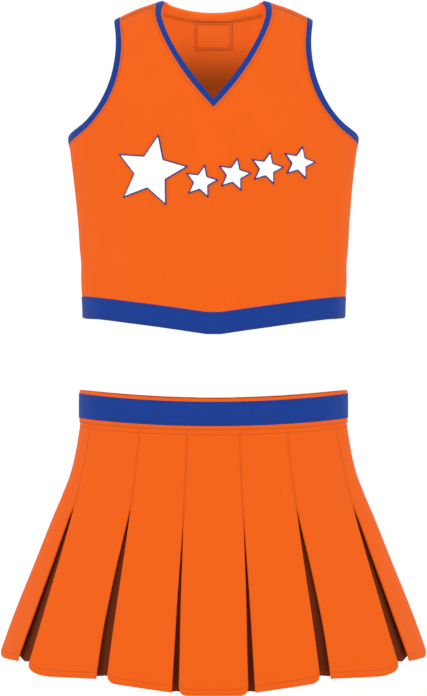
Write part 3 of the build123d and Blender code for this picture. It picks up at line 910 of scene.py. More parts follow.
# painted shade by height: the lining face runs from near, its lighter colour high up, to deep, a darker one lower down
def by_height(tree, near, deep, high, low):
    """A colour that runs from near, at the height high and above, to deep at the height low, and the share of near."""
    place = add(tree, "SeparateXYZ", [(0, add(tree, "TexCoord").outputs["Object"])])
    fade = add(tree, "MapRange", [(0, place.outputs[2])], interpolation_type="SMOOTHSTEP")
    fade.inputs[1].default_value, fade.inputs[2].default_value = low, high
    shade = add(tree, "Mix", [(0, fade.outputs[0])], data_type="RGBA")
    shade.inputs[6].default_value, shade.inputs[7].default_value = linear(deep), linear(near)
    return shade.outputs[2], fade.outputs[0]


def inside_colour(tree, surface, outside, near, deep, high, low, glow=0.0):
    """Colours the lining face, which the mesh marks, with painted shade by height. With glow it also gives out a little
    orange light near the neck: a painted glow."""
    shade, share = by_height(tree, near, deep, high, low)
    face = add(tree, "SeparateXYZ", [(0, add(tree, "Attribute", attribute_name="weave").outputs["Vector"])])
    both = add(tree, "Mix", [(0, face.outputs[2]), (6, outside), (7, shade)], data_type="RGBA")
    # painted glow: the lining face gives out orange light, strongest near the neck, though it is no lamp
    if glow:
        surface.inputs["Emission Color"].default_value = linear("#E5631C")
        strength = maths(tree, "MULTIPLY", maths(tree, "MULTIPLY", share, face.outputs[2]), glow)
        tree.links.new(strength, surface.inputs["Emission Strength"])
    return both.outputs[2]


def ribbed_material(name, hex_value, pitch=1.6):
    """Knitted braid: cut binding and stripe with fine cross ribs, a little shinier along each rib."""
    material, tree, surface = new_material(
        name, Roughness=0.75, Specular_IOR_Level=0.12, Sheen_Weight=0.03, Sheen_Roughness=0.4, IOR=1.53
    )
    colour_out = mottled(tree, hex_value, 0.06, 30.0)
    across, along, _ = weave_axes(tree)
    rib = maths(tree, "SINE", maths(tree, "MULTIPLY", along, 2 * math.pi / pitch))
    cross = maths(tree, "SINE", maths(tree, "MULTIPLY", across, 2 * math.pi / pitch))
    height = maths(tree, "MULTIPLY_ADD", maths(tree, "MULTIPLY", rib, cross), 0.3, maths(tree, "MULTIPLY", rib, 0.5))
    tree.links.new(colour_out, surface.inputs["Base Color"])
    finish_bump(tree, surface, height, 0.0001)
    return material


def twill_material(name, hex_value, pitch=1.3):
    """Tackle twill: tightly woven polyester with diagonal ribs, crisp and slightly bright."""
    material, tree, surface = new_material(
        name, Roughness=0.6, Specular_IOR_Level=0.35, Sheen_Weight=0.05, IOR=1.53
    )
    across, along, _ = weave_axes(tree)
    diagonal = maths(tree, "ADD", across, maths(tree, "MULTIPLY", along, 0.8))
    height = maths(tree, "SINE", maths(tree, "MULTIPLY", diagonal, 2 * math.pi / pitch))
    tree.links.new(mottled(tree, hex_value, 0.02, 25.0), surface.inputs["Base Color"])
    finish_bump(tree, surface, height, 0.00008)
    return material


def thread_material(name, hex_value):
    """Spun polyester sewing thread: twisted, with a low satin shine."""
    material, tree, surface = new_material(name, Roughness=0.55, Specular_IOR_Level=0.3, Sheen_Weight=0.1)
    spin = add(tree, "TexWave", [("Vector", add(tree, "TexCoord").outputs["Object"])], wave_type="BANDS",
               bands_direction="DIAGONAL", Scale=900.0, Distortion=1.0)
    tree.links.new(mottled(tree, hex_value, 0.1, 4.0), surface.inputs["Base Color"])
    finish_bump(tree, surface, spin.outputs["Fac"], 0.00005)
    return material


def metal_material(name, hex_value, roughness=0.32):
    """Nickel-plated zinc, tumbled smooth: a grey satin metal with faint rubbed scratches."""
    material, tree, surface = new_material(name, Metallic=1.0)
    where = add(tree, "TexCoord").outputs["Object"]
    noise = add(tree, "TexNoise", [("Vector", where)], Scale=700.0, Detail=4.0)
    rough = maths(tree, "MULTIPLY_ADD", noise.outputs[0], 0.2, roughness - 0.1)
    tree.links.new(rough, surface.inputs["Roughness"])
    tree.links.new(mottled(tree, hex_value, 0.08, 3.0), surface.inputs["Base Color"])
    finish_bump(tree, surface, noise.outputs[0], 0.00003)
    return material


def coil_material(name, hex_value):
    """Extruded nylon monofilament, dyed to match: smooth, slightly glossy plastic."""
    material, tree, surface = new_material(name, Roughness=0.38, Specular_IOR_Level=0.5, IOR=1.53)
    tree.links.new(mottled(tree, hex_value, 0.05, 2.0), surface.inputs["Base Color"])
    noise = add(tree, "TexNoise", [("Vector", add(tree, "TexCoord").outputs["Object"])], Scale=1500.0)
    finish_bump(tree, surface, noise.outputs[0], 0.00002)
    return material


def make_materials():
    colours = bpy.context.scene.cheer_colours
    # painted shade on the top's lining face: from the neck's painted light at 0.425 m high down to the darker painted
    # shade at 0.362 m, with a painted glow of 0.4
    inside = colours.coil_and_neck_painted_light, colours.lining_painted_shade, 0.425, 0.362, 0.4
    knit_material("double_knit_orange", colours.knit, inside=inside)
    # the lining pieces are all lining face, so they take the same painted shade and glow
    knit_material("double_knit_lining", colours.coil_and_neck_painted_light, inside=inside)
    knit_material("knit_waist_lining", colours.knit)
    skirt_inside = colours.knit, colours.knit, 0.0, -0.1
    knit_material("double_knit_skirt", colours.knit, inside=skirt_inside)
    # painted shade: the underlays' outer face is dark brown for the shade in the pleat gaps, their inner face the
    # knit's orange
    knit_material("double_knit_pleat_inside", colours.pleat_painted_shade, spread=0.06, inside=skirt_inside)
    ribbed_material("knit_braid_blue", colours.trim)
    twill_material("tackle_twill_white", colours.star)
    twill_material("tackle_twill_blue", colours.trim)
    twill_material("woven_zip_tape", colours.knit, pitch=1.1)
    thread_material("spun_thread_orange", colours.thread)
    thread_material("spun_thread_brown", colours.inside_thread)
    thread_material("spun_thread_blue", colours.trim_thread)
    thread_material("spun_thread_white", colours.star)
    metal_material("nickel_plated_zinc", colours.metal)
    coil_material("nylon_coil_orange", colours.coil_and_neck_painted_light)


# ---------------------------------------------------------------- the top's pieces


def make_panels():
    cloth = bpy.context.scene.cheer_top.cloth / MM
    tuck_share = 0.35
    arm = on_top(inside_outline(between(ARMHOLE_SEAM, ARMHOLE_EDGE, tuck_share)), 90)
    arm[[0, -1], 0] = RIGHT_ANGLE
    neck = on_top(inside_outline(between(NECK_SEAM, NECK_EDGE, tuck_share)), 80)
    neck[-1, 0] = RIGHT_ANGLE
    rim_shoulder = np.column_stack([np.full(12, RIGHT_ANGLE), np.linspace(arm[0, 1], neck[-1, 1], 12)])[1:-1]
    turns = np.linspace(0, RIGHT_ANGLE, 70)
    hem = np.column_stack([turns, hem_line(turns, BAND_TALL - 3, True)])
    side = np.column_stack([np.full(60, RIGHT_ANGLE), np.linspace(hem[-1, 1], arm[-1, 1], 60)])[1:-1]
    half = np.vstack([hem, side, arm[::-1], rim_shoulder, neck[::-1]])
    other = half[::-1][1:-1] * (-1, 1)
    front = piece_panel("front_panel_cloth", np.vstack([half, other]), cloth)
    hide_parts("front_panel")
    lay_panel()

    across = np.linspace(-1, 1, 60) * BACK_NECK_END[0]
    scoop = np.column_stack([across, scoop_z(across, 0)])
    end_z = float(np.interp(BACK_NECK_END[0], TABLE_A[::-1], TABLE_Z[::-1]))
    neck = np.column_stack([side_of(scoop[:, 0], scoop[:, 1], BACK), scoop[:, 1]])
    neck = np.vstack([[math.pi + RIGHT_ANGLE, end_z], neck, [RIGHT_ANGLE, end_z]])
    arm_back = arm.copy()
    arm_back[:, 0] = math.pi - arm[:, 0]
    turns = half_turns(BACK, 139)
    hem = np.column_stack([turns, hem_line(turns, BAND_TALL - 3, False)])
    side = np.column_stack([np.full(60, 0.0), np.linspace(hem[0, 1], arm[-1, 1], 60)])[1:-1]
    shoulder = np.column_stack([np.full(16, 0.0), np.linspace(arm[0, 1], end_z, 16)])[1:-1]

    def right(rows):
        out = rows.copy()
        out[:, 0] = 2 * math.pi - rows[:, 0]
        return out

    side[:, 0], shoulder[:, 0] = RIGHT_ANGLE, RIGHT_ANGLE
    left_side = [shoulder[::-1], arm_back, side[::-1]]
    whole = np.vstack([hem, right(side), right(arm_back)[::-1], right(shoulder), neck, *left_side])
    back = piece_panel("back_panel_cloth", whole, cloth)
    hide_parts("back_panel")
    lay_panel()


def lay_panel():
    """Works out points across half of the top's girth at the underarm, for a panel cut from a rectangle as wide as half
    the bust and as long as the panel, and does nothing more with them.
    """
    girth = torso(np.linspace(-RIGHT_ANGLE, RIGHT_ANGLE, 90), UNDERARM_Z, 0, 0)


def piece_panel(name, rows, cloth):
    outline = top_to_domain(rows)
    keep = np.linalg.norm(np.roll(outline, -1, axis=0) - outline, axis=1) > 0.25
    return panel(name, outline[keep], 6.5, 0.0, 0.45, cloth, *ORANGE, "top")


# A binding's section: how far it is from its seam to its edge, and how far out of the cloth
BINDING_SECTION = [(-0.02, -0.5), (0.03, 0.35), (0.14, 0.8), (0.5, 1.0), (0.84, 0.85), (0.97, 0.2), (1.0, -1.2),
                   (0.97, -2.4), (0.84, -2.9), (0.5, -2.9), (0.14, -2.8), (0.0, -2.4)]


def binding_lift(out):
    crown = bpy.context.scene.cheer_top.binding_crown / MM
    return out * crown if out > 0 else out


def make_bindings():
    for side, flip in (("left", 1), ("right", -1)):
        lines = []
        for share, out in BINDING_SECTION:
            rows = armhole_ring(between(ARMHOLE_SEAM, ARMHOLE_EDGE, share))
            lines.append(torso(rows[:, 0] * flip, rows[:, 1], binding_lift(out)))
        grid = np.stack(lines, axis=1)
        if flip < 0:
            grid = grid[:, ::-1]
        binding = grid_piece("armhole_binding_" + side, grid[::-1], *BRAID, "top", wrap_rows=True)
        lay(grid)
        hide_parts("armhole_trim_" + side)

        lines = []
        for share, out in BINDING_SECTION:
            line = inside_outline(between(NECK_SEAM, NECK_EDGE, share))
            rows = on_top(line, 70)
            rows[0, 0], rows[-1, 0] = 0.0, RIGHT_ANGLE
            lines.append(torso(rows[:, 0] * flip, rows[:, 1], binding_lift(out)))
        grid = np.stack(lines, axis=1)
        if flip > 0:
            grid = grid[:, ::-1]
        binding = grid_piece("neck_binding_" + side, grid[::-1], *BRAID, "top")
        lay(grid)
        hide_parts("neck_trim_" + side)


# The hem band's section, from its seam down the outside, round the fold and up the inside
HEM_SECTION = [(24.6, -0.7), (24.2, 0.25), (23.2, 0.55), (16.0, 0.6), (8.0, 0.6), (1.2, 0.5), (0.1, -0.1), (-0.2, -1.2),
               (0.1, -2.3), (1.2, -2.9), (8.0, -3.0), (16.0, -3.0), (23.4, -2.9), (24.6, -2.4)]


def make_hem_bands():
    for part in (FRONT, BACK):
        turns = half_turns(part, 181)
        seam = 0.45 * (bump(turns, turns[0], 0.008) + bump(turns, turns[-1], 0.008))
        lines = [torso(turns, hem_line(turns, up, part == FRONT), out - seam) for up, out in HEM_SECTION]
        grid = np.stack(lines, axis=1)[:, ::-1]
        band = grid_piece("hem_band_cloth_" + part, grid, *BRAID, "top")
        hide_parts("hem_band_" + part)
        lay(grid)


# The facing's section: how far down from the neck's edge, and how far out of the cloth
FACING_SECTION = [(2.2, 0.05), (1.2, 0.35), (0.1, 0.2), (-0.5, -0.8), (-0.3, -2.2), (0.8, -3.0), (4.0, -3.2),
                  (7.6, -3.1), (8.8, -2.7), (9.0, -2.0)]
PATCH_TOP, PATCH_BOTTOM, PATCH_HALF = 436.3, 405.6, 22.8


def scoop_z(x, drop):
    """Height of the back neck's edge at x, lowered by drop."""
    end = BACK_NECK_END[0] + drop / 2
    share = np.minimum(np.abs(x) / end, 1)
    return BACK_NECK_DIP - drop + (BACK_NECK_END[1] - BACK_NECK_DIP) * share**2


def make_neck_facing():
    """The band inside the back neck: it wraps over the edge and is stitched down twice."""
    share = np.linspace(-1, 1, 71)
    lines = []
    for drop, out in FACING_SECTION:
        x = share * (BACK_NECK_END[0] + min(max(drop, 0), 3) / 2 - 0.8)
        z = scoop_z(x, drop)
        lines.append(torso(side_of(x, z, BACK), z, out))
    grid = np.stack(lines, axis=1)
    facing = grid_piece("back_neck_binding", grid, *LINING, "top")
    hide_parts("back_neck_facing")
    lay(grid)

    # the square patch below the band, its edges turned under
    rows, columns = np.linspace(PATCH_TOP, PATCH_BOTTOM, 16), np.linspace(-1, 1, 24)
    x, z = np.meshgrid(columns * PATCH_HALF, rows)
    lip = np.minimum(PATCH_HALF - np.abs(x), np.minimum(PATCH_TOP - z, z - PATCH_BOTTOM))
    grid = torso(side_of(x, z, BACK), z, -2.5 - 0.5 * ramp(lip, 0, 1.2))
    patch = grid_piece("label_patch_cloth", grid, *LINING, "top", thick=0.7)
    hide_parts("label_patch")
    lay(grid)


def rectangle(half, top, bottom, inset):
    """A closed rectangle in the front view, as x and z."""
    x, high, low = half - inset, top - inset, bottom + inset
    corners = np.array([(-x, high), (x, high), (x, low), (-x, low), (-x, high)], float)
    return even(corners, 80)


def make_top_stitches():
    lines = []
    for flip in (1, -1):
        ring = armhole_ring(moved_in(smooth_line(ARMHOLE_SEAM), 1.9), 120)
        ring = np.vstack([ring, ring[:1]])
        lines.append(on_surface(ring[:, 0] * flip, ring[:, 1], 0.05))
        neck = moved_in(smooth_line(NECK_SEAM), 2.4)
        neck = np.vstack([neck[0] - (neck[1] - neck[0]) * neck[0, 0] / (neck[1, 0] - neck[0, 0]), neck])
        neck = on_top(inside_outline(neck), 120)
        lines.append(on_surface(neck[:, 0] * flip, neck[:, 1], 0.05))
    stitches("top_edge_stitches", lines, *ORANGE_THREAD, "top")

    # two rows below the shoulder seams, in front, and two behind them
    lines = []
    for flip in (1, -1):
        for below in (7.4, 9.8):
            x = np.linspace(69, 104.5, 40)
            z = np.interp(x, TABLE_A[::-1], TABLE_Z[::-1]) - below
            lines.append(on_surface(side_of(x, z) * flip, z, 0.08))
            lines.append(on_surface(side_of(x, z, BACK) * flip, z, 0.08))
    stitches("shoulder_stitches", lines, *ORANGE_THREAD, "top", radius=0.34)

    lines = []
    for part in (FRONT, BACK):
        turns, pointed = half_turns(part, 200), part == FRONT
        lines.append(on_surface(turns, hem_line(turns, BAND_TALL - 2.2, pointed), 0.6))
        lines.append(on_surface(turns, hem_line(turns, 2.6, pointed), 0.55))
    stitches("hem_band_stitches", lines, *BLUE_THREAD, "top")

    lines = []
    for below in (6.4, 8.2):
        x = np.linspace(-1, 1, 120) * (BACK_NECK_END[0] + 1.5)
        z = scoop_z(x, below)
        points, out = on_surface(side_of(x, z, BACK), z, -3.2)
        lines.append((points, -out))
    for inset in (0.6, 3.0):
        x, z = rectangle(PATCH_HALF, PATCH_TOP, PATCH_BOTTOM, inset).T
        points, out = on_surface(side_of(x, z, BACK), z, -3.4 if inset > 1 else -3.1)
        lines.append((points, -out))
    stitches("back_neck_stitches", lines, "spun_thread_brown", "lining", "top", radius=0.34)


STAR_POINTS = 5
STAR_WAIST = 0.46
STAR_TILT = -12.0
STARS = [(-69.0, 242.0, 40.0)] + [(-13.5 + 36.0 * i, 229.5 + 7.7 * i, 17.9) for i in range(4)]


def star_outline(x, z, radius, corner=1.2):
    """A five-pointed star in the front view, with its corners a little rounded."""
    corners = []
    for i in range(2 * STAR_POINTS):
        r = radius if i % 2 == 0 else radius * STAR_WAIST
        a = math.radians(90 + STAR_TILT + i * 180 / STAR_POINTS)
        corners.append((x + r * math.cos(a), z + r * math.sin(a)))
    corners = np.array(corners)
    out = []
    for before, here, after in zip(np.roll(corners, 1, axis=0), corners, np.roll(corners, -1, axis=0)):
        into, away = (before - here) / np.linalg.norm(before - here), (after - here) / np.linalg.norm(after - here)
        for t in np.linspace(0, 1, 4):
            out.append((1 - t) ** 2 * (here + into * corner) + 2 * t * (1 - t) * here + t**2 * (here + away * corner))
    return even(np.array(out), max(40, int(radius * 9)), close=True)


def star_piece(name, grow, low, high, material, slot, node):
    """All five stars at one layer: a flat top with a rolled edge, down to the cloth below."""
    points, faces, weave = [], [], []
    for x, z, radius in STARS:
        outline = anticlockwise(star_outline(x, z, radius + grow))
        rings = [inset_ring(outline, 0.35), inset_ring(outline, 1.0)]
        flat, triangles, origins = patchwork(rings[0], 3.2, [rings[1]])
        edge = np.array([any(i < len(rings[0]) for i in found) for found in origins])
        top = torso(side_of(flat[:, 0], flat[:, 1]), flat[:, 1], high - 0.12 * edge)
        start = sum(len(p) for p in points)
        # walls: from the top's edge out and down to the layer below
        edge_order = {found[0]: k for k, found in enumerate(origins) if found and found[0] < len(rings[0])}
        turn = side_of(outline[:, 0], outline[:, 1])
        wall = [torso(turn, outline[:, 1], level) for level in ((low + high) / 2 + 0.1, low)]
        n = len(outline)
        points.append(np.vstack([top, *wall]))
        weave.append(np.column_stack([np.vstack([flat, outline, outline]), np.zeros(len(flat) + 2 * n)]))
        flipped = [[v + start for v in (f if facing_front(top, f) else f[::-1])] for f in triangles]
        faces += flipped
        base = start + len(flat)
        for i in range(n):
            j = (i + 1) % n
            faces.append([start + edge_order[i], base + i, base + j, start + edge_order[j]])
            faces.append([base + i, base + n + i, base + n + j, base + j])
        # a floor of the same outline closes the piece
        faces.append([base + n + i for i in range(n)])
    obj = piece(name, np.vstack(points), faces, np.vstack(weave), material, slot, "top", sharp=60)
    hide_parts(node)
    return obj


def facing_front(points, face):
    a, b, c = (points[v] for v in face[:3])
    return np.cross(b - a, c - a)[1] < 0


def make_stars():
    border = bpy.context.scene.cheer_top.star_border / MM
    star_piece("star_backing_twill", 2.2, -0.1, 0.75, "tackle_twill_blue", "blue_trim", "emblem_backing")
    star_piece("star_twill", -border + 0.4, 0.7, 1.5, "tackle_twill_white", "white_twill", "emblem_facing")
    # a close row of satin stitches holds each edge down
    for name, grow, lift, material, slot in (
        ("star_border_stitches", 1.1, 0.85, *BLUE_THREAD),
        ("star_edge_stitches", -border - 1.0, 1.55, "spun_thread_white", "white_twill"),
    ):
        lines = []
        for x, z, radius in STARS:
            outline = star_outline(x, z, radius + grow)
            outline = np.vstack([outline, outline[:1]])
            lines.append(on_surface(side_of(outline[:, 0], outline[:, 1]), outline[:, 1], lift))
        stitches(name, lines, material, slot, "top", pitch=2.2)


# ---------------------------------------------------------------- the waistband's pieces

TAB_ROOT, TAB_TIP, UNDERLAP_END = 26.0, -18.0, 18.0


def waist_turn(x):
    """Angle in degrees of a point on the back of the waist, from its place across the waist."""
    return 180 - math.degrees(math.asin(x / WAIST_A))


def waist_grid(angles, section):
    """A grid round the waist: section rows are (height share from top 0 to bottom 1, extra height, set-in)."""
    columns = []
    for share, extra, inset in section:
        x, y = oval(angles, WAIST_A - inset, WAIST_B - inset)
        face_x, _ = oval(angles, WAIST_A, WAIST_B)
        top, bottom = band_z(face_x, -WAIST_RISE, WAIST_DIP), band_z(face_x, WAISTBAND_TALL, BAND_BOTTOM_DIP)
        columns.append(np.column_stack([x, y, top + (bottom - top) * share + extra]))
    return np.stack(columns, axis=1)


BAND_SECTION = [(1.0, -0.2, 3.2), (1.0, -0.35, 2.0), (1.0, 0.2, 1.25), (0.93, 0, 0.7), (0.6, 0, 0.65), (0.3, 0, 0.65),
                (0.06, 0, 0.7), (0.0, -0.5, 1.15), (0.0, 0.1, 1.9), (0.0, 0.1, 2.9), (0.0, -0.5, 3.7), (0.06, 0, 4.0),
                (0.5, 0, 4.05), (0.95, 0, 4.0), (1.0, 0, 3.7)]
LINING_SECTION = [(0.06, 0, 4.35), (0.09, 0, 4.75), (0.5, 0, 4.95), (0.92, 0, 4.75), (0.95, 0, 4.35)]
UNDERLAP_SECTION = [(0.98, 0, 4.0), (0.99, 0, 3.5), (0.96, 0, 2.95), (0.5, 0, 2.9), (0.04, 0, 2.95), (0.01, 0, 3.5),
                    (0.02, 0, 4.0)]
TAB_SECTION = [(1.0, -0.2, 2.5), (1.0, 0.1, 1.6), (0.96, 0, 1.1), (0.5, 0, 1.0), (0.06, 0, 1.1), (0.0, -0.2, 1.6),
               (0.0, -0.1, 2.5)]


def stripe_section(inset=0.0):
    top, bottom = STRIPE_TOP / WAISTBAND_TALL, (STRIPE_TOP + STRIPE_TALL) / WAISTBAND_TALL
    rows = [(bottom, -0.2, 1.0), (bottom, 0, 0.45), (bottom - 0.03, 0, 0.1), (bottom - 0.3, 0, 0),
            (top + 0.3, 0, 0), (top + 0.03, 0, 0.1), (top, 0, 0.45), (top, 0.2, 1.0)]
    return [(share, extra, inset + deep) for share, extra, deep in rows]


def band_angles(part):
    if part == FRONT:
        return np.linspace(-90, 90, 181)
    if part == "left":
        return np.linspace(90, waist_turn(TAB_ROOT), 90)
    return np.linspace(waist_turn(TAB_TIP - 1), 270, 90)


def make_waistband():
    for part in (FRONT, "left", "right"):
        angles = band_angles(part)
        grid = waist_grid(angles, BAND_SECTION)
        band = grid_piece("waistband_cloth_" + part, grid[:, ::-1], *ORANGE, "skirt")
        close_ends(band, grid.shape)
        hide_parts("waistband_" + part)
        lay(grid)
        grid = waist_grid(angles, stripe_section())
        stripe = grid_piece("waist_stripe_cloth_" + part, grid[:, ::-1], *BRAID, "skirt")
        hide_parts("waist_stripe_" + part)
        lay(grid)

    grid = waist_grid(np.linspace(waist_turn(TAB_TIP - 1), waist_turn(TAB_ROOT + 2) + 360, 260), LINING_SECTION)
    lining = grid_piece("waistband_lining_cloth", grid[:, ::-1], "knit_waist_lining", "lining", "skirt")
    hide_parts("waistband_lining")
    lay(grid)

    # the right end runs on under the tab as a thin underlap
    angles = np.linspace(waist_turn(UNDERLAP_END), waist_turn(TAB_TIP - 4), 30)
    underlap = grid_piece("waistband_underlap", waist_grid(angles, UNDERLAP_SECTION)[:, ::-1], *ORANGE, "skirt",
                          wrap_columns=True)
    close_ends(underlap, (len(angles), len(UNDERLAP_SECTION)))


def close_ends(obj, shape):
    """Caps the two open ends of a tube made from a grid."""
    rows, columns = shape[:2]
    mesh = obj.data
    points = [v.co.copy() for v in mesh.vertices]
    faces = [list(p.vertices) for p in mesh.polygons]
    weave = np.zeros(len(points) * 3, np.float32)
    mesh.attributes["weave"].data.foreach_get("vector", weave)
    faces.append(list(range(columns)))
    faces.append([(rows - 1) * columns + k for k in reversed(range(columns))])
    mesh.clear_geometry()
    mesh.from_pydata(points, [], faces)
    mesh.validate()
    mesh.update()
    mesh.shade_smooth()
    mesh.set_sharp_from_angle(angle=math.radians(65))
    layer = mesh.attributes.get("weave") or mesh.attributes.new("weave", "FLOAT_VECTOR", "POINT")
    layer.data.foreach_set("vector", weave)


def make_tab():
    """The waistband's tab: the left end of the band, which laps over the right and holds with two snaps."""
    angles = np.linspace(waist_turn(TAB_ROOT - 0.4), waist_turn(TAB_TIP), 34)
    grid = waist_grid(angles, TAB_SECTION)
    tab = grid_piece("waistband_tab", grid[:, ::-1], *ORANGE, "closure_tab_body", wrap_columns=True)
    close_ends(tab, grid.shape)
    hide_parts("closure_tab")
    grid = waist_grid(angles, stripe_section(0.05))
    stripe = grid_piece("waistband_tab_stripe", grid[:, ::-1], *BRAID, "closure_tab_body")
    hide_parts("closure_tab_stripe")
    lay(grid)
    for node in ("snap_studs", "snap_sockets"):
        dress(node, "nickel_plated_zinc")


def dress(node, material):
    """Gives a frame node that stays its finish."""
    mesh = frame["nodes"][node].data
    mesh.materials.clear()
    mesh.materials.append(bpy.data.materials[material])


def waist_stitch(angles, share, extra, inset):
    grid = waist_grid(angles, [(share, extra, inset), (share, extra, inset - 1.0)])
    return grid[:, 0], grid[:, 1] - grid[:, 0]


def make_waist_stitches():
    around = np.linspace(waist_turn(TAB_TIP - 1.5), waist_turn(TAB_ROOT) + 360, 400)
    top, bottom = STRIPE_TOP / WAISTBAND_TALL, (STRIPE_TOP + STRIPE_TALL) / WAISTBAND_TALL
    stitches("waist_stripe_stitches", [waist_stitch(around, top, -1.6, 0.02), waist_stitch(around, bottom, 1.6, 0.02)],
             *BLUE_THREAD, "skirt")
    stitches("waistband_stitches", [waist_stitch(around, 1.0, 1.3, 0.95)], *ORANGE_THREAD, "skirt")
    tab = np.linspace(waist_turn(TAB_ROOT - 1.5), waist_turn(TAB_TIP + 1.5), 40)
    lines = [waist_stitch(tab, top, -1.6, 0.06), waist_stitch(tab, bottom, 1.6, 0.06)]
    stitches("tab_stripe_stitches", lines, *BLUE_THREAD, "closure_tab_body")


# ---------------------------------------------------------------- the skirt's pieces

def hinge(name):
    """A pleat's fold line: a point on it and its direction, in metres."""
    joint = JOINTS["flare_" + name]
    return Vector(joint["pos_m"]), Vector(joint["axis"]).normalized()


def hang(obj, name, points):
    """Reads the fold line where the piece's pleat leaves the stitched part of the skirt and the way down the piece from
    it, then bakes the piece's transform into its mesh.
    """
    place, axis = hinge(name)
    low = Vector(points[-1, points.shape[1] // 2] * MM)
    down = low - place
    down -= axis * down.dot(axis)
    down.normalize()
    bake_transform(obj)


ZIP_SLOT, ZIP_LOW = 5.2, -126.5


def zip_slot(middle):
    return abs(middle[0]) < ZIP_SLOT - 0.6 and middle[2] > ZIP_LOW


def slotted(grid):
    """The centre back panel's grid, with two columns moved to the sides of the zip's slot."""
    middle = grid.shape[1] // 2
    out = grid.copy()
    for row in out:
        near = ramp(row[middle, 2], ZIP_LOW - 22, ZIP_LOW - 4)
        for column, sign in ((middle - 1, 1), (middle + 1, -1)):
            goal = sign * np.sign(row[middle - 1, 0] - row[middle + 1, 0]) * ZIP_SLOT
            row[column, 0] += (goal - row[column, 0]) * near
    # below the slot the cloth is drawn in, which leaves room for the pull when the zip is open
    drawn_in = 3.4 * (1 - ramp(out[..., 2], -140, -108)) * ramp(out[..., 2], -170, -146)
    out[..., 1] -= drawn_in * (1 - ramp(np.abs(out[..., 0]), ZIP_SLOT, 14.0))
    return out


def make_pleats():
    thick = bpy.context.scene.cheer_skirt.cloth / MM
    for i in range(COUNT):
        number = (i + 1) % COUNT + 1
        name = f"pleat_{number:02d}"
        grid = folded_panel(i)
        back_centre = i == COUNT // 2 - 1
        if back_centre:
            grid = slotted(grid)
        pleat = grid_piece(f"pleat_{number:02d}_cloth", grid, "double_knit_skirt", "orange_knit", thick=thick,
                           holes=zip_slot if back_centre else None)
        hang(pleat, name, grid)
        nodes = [name]
        if i == COUNT - 1:
            nodes.append("hip_yoke_front")
        if back_centre:
            nodes.append("hip_yoke_back")
        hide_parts(*nodes)
        lay(grid)
        make_pleat_stitches(i, name, number, grid)


def read_rows(face, places):
    """The point of each of a face's columns at its own place down the rows."""
    rows = np.arange(len(face))
    return np.array([[np.interp(at, rows, face[:, c, k]) for k in range(3)] for c, at in enumerate(places)])


def make_pleat_stitches(i, name, number, grid):
    """The topstitching of one panel: under the waistband, down each stitched pleat and along the hem."""
    face = panel_surface(i)
    normal = outward(face)
    lines = []
    rows = len(face)
    # below the waistband
    drop = 8.2 / (face[0, :, 2] - face[-1, :, 2]) * (rows - 1)
    below_band = read_rows(face, drop)
    lines.append((below_band, normal[3]))
    # down each side of the panel to where its pleat comes free
    for column, step, pleat in ((0, 1, i), (-1, -1, (i + 1) % COUNT)):
        if panel_order(i)[0] and (column == 0) == panel_order(i)[1]:
            continue
        stop = release_z(RING[pleat][0])
        edge, inner = face[:, column], face[:, column + 3 * step]
        way = inner - edge
        way /= np.linalg.norm(way, axis=1, keepdims=True)
        line = edge + way * 1.5
        kept = (line[:, 2] > stop) & (line[:, 2] < below_band[:, 2].min())
        lines.append((line[kept], normal[kept, column]))
    # along the hem
    up = 6.0 / np.abs(face[0, :, 2] - face[-1, :, 2]) * (rows - 1)
    hem = read_rows(face, rows - 1 - up)
    lines.append((hem[1:-1], normal[-2, 1:-1]))
    thread = stitches(f"pleat_{number:02d}_stitches", lines, *ORANGE_THREAD)
    hang(thread, name, grid)


UNDERLAY_ROWS, UNDERLAY_COLUMNS = 46, 15
UNDERLAY_ABOVE = (-3.4, -0.6, -3.0, -1.0)  # how far each underlay stops above the shorter of its panels


def underlay_surface(i):
    """The cloth behind pleat i, from the waistband to the hem, hollowed a little between its panels."""
    seam = RING[i][0]
    hem_a, hem_b = panel_hems((i - 1) % COUNT)[1], panel_hems(i)[0]
    low = max(hem_a, hem_b) + UNDERLAY_ABOVE[RING[i][1]]
    x_top, _ = oval(seam, WAIST_A, WAIST_B)
    top = float(band_z(np.array(x_top), WAISTBAND_TALL - 3.0, BAND_BOTTOM_DIP))
    grid = np.zeros((UNDERLAY_ROWS, UNDERLAY_COLUMNS, 3))
    shares = np.linspace(-1, 1, UNDERLAY_COLUMNS)
    for row, share in enumerate(np.linspace(0, 1, UNDERLAY_ROWS)):
        z = top + (low - top) * share
        angle = float(pleat_line(i, z)[0])
        a, b = np.interp(z, SKIRT_Z, SKIRT_A), np.interp(z, SKIRT_Z, SKIRT_B)
        x, y = oval(angle, a, b)
        out = np.array([math.sin(math.radians(angle)) / a, -math.cos(math.radians(angle)) / b])
        out /= np.linalg.norm(out)
        side = np.array([-out[1], out[0]])
        free = np.clip((release_z(seam) - z) / 180.0, 0, 1)
        half = 10.0 + 23.0 * free
        long, across_it = (a * math.sin(math.radians(angle))) ** 2, (b * math.cos(math.radians(angle))) ** 2
        tight = (a * math.cos(math.radians(angle))) ** 2 + (b * math.sin(math.radians(angle))) ** 2
        curve = half**2 / 2 * a * b * max((long + across_it) ** -1.5, 0.8 * tight**-1.5)
        depth = 5.4 + 1.0 * free + 1.9 * curve * free
        bow = 1.6 * free * shares**2 - 0.8 * free * np.cos(shares * math.pi)
        plan = np.array([x, y]) - out * depth
        across = plan + side * (half * shares)[:, None] - out * bow[:, None]
        scallop = share**6 * (2.6 * bump(shares, 0, 0.28) + 0.5 * np.maximum(np.abs(shares) * half - 8.0, 0))
        grid[row] = np.column_stack([across, z + scallop])
    return grid


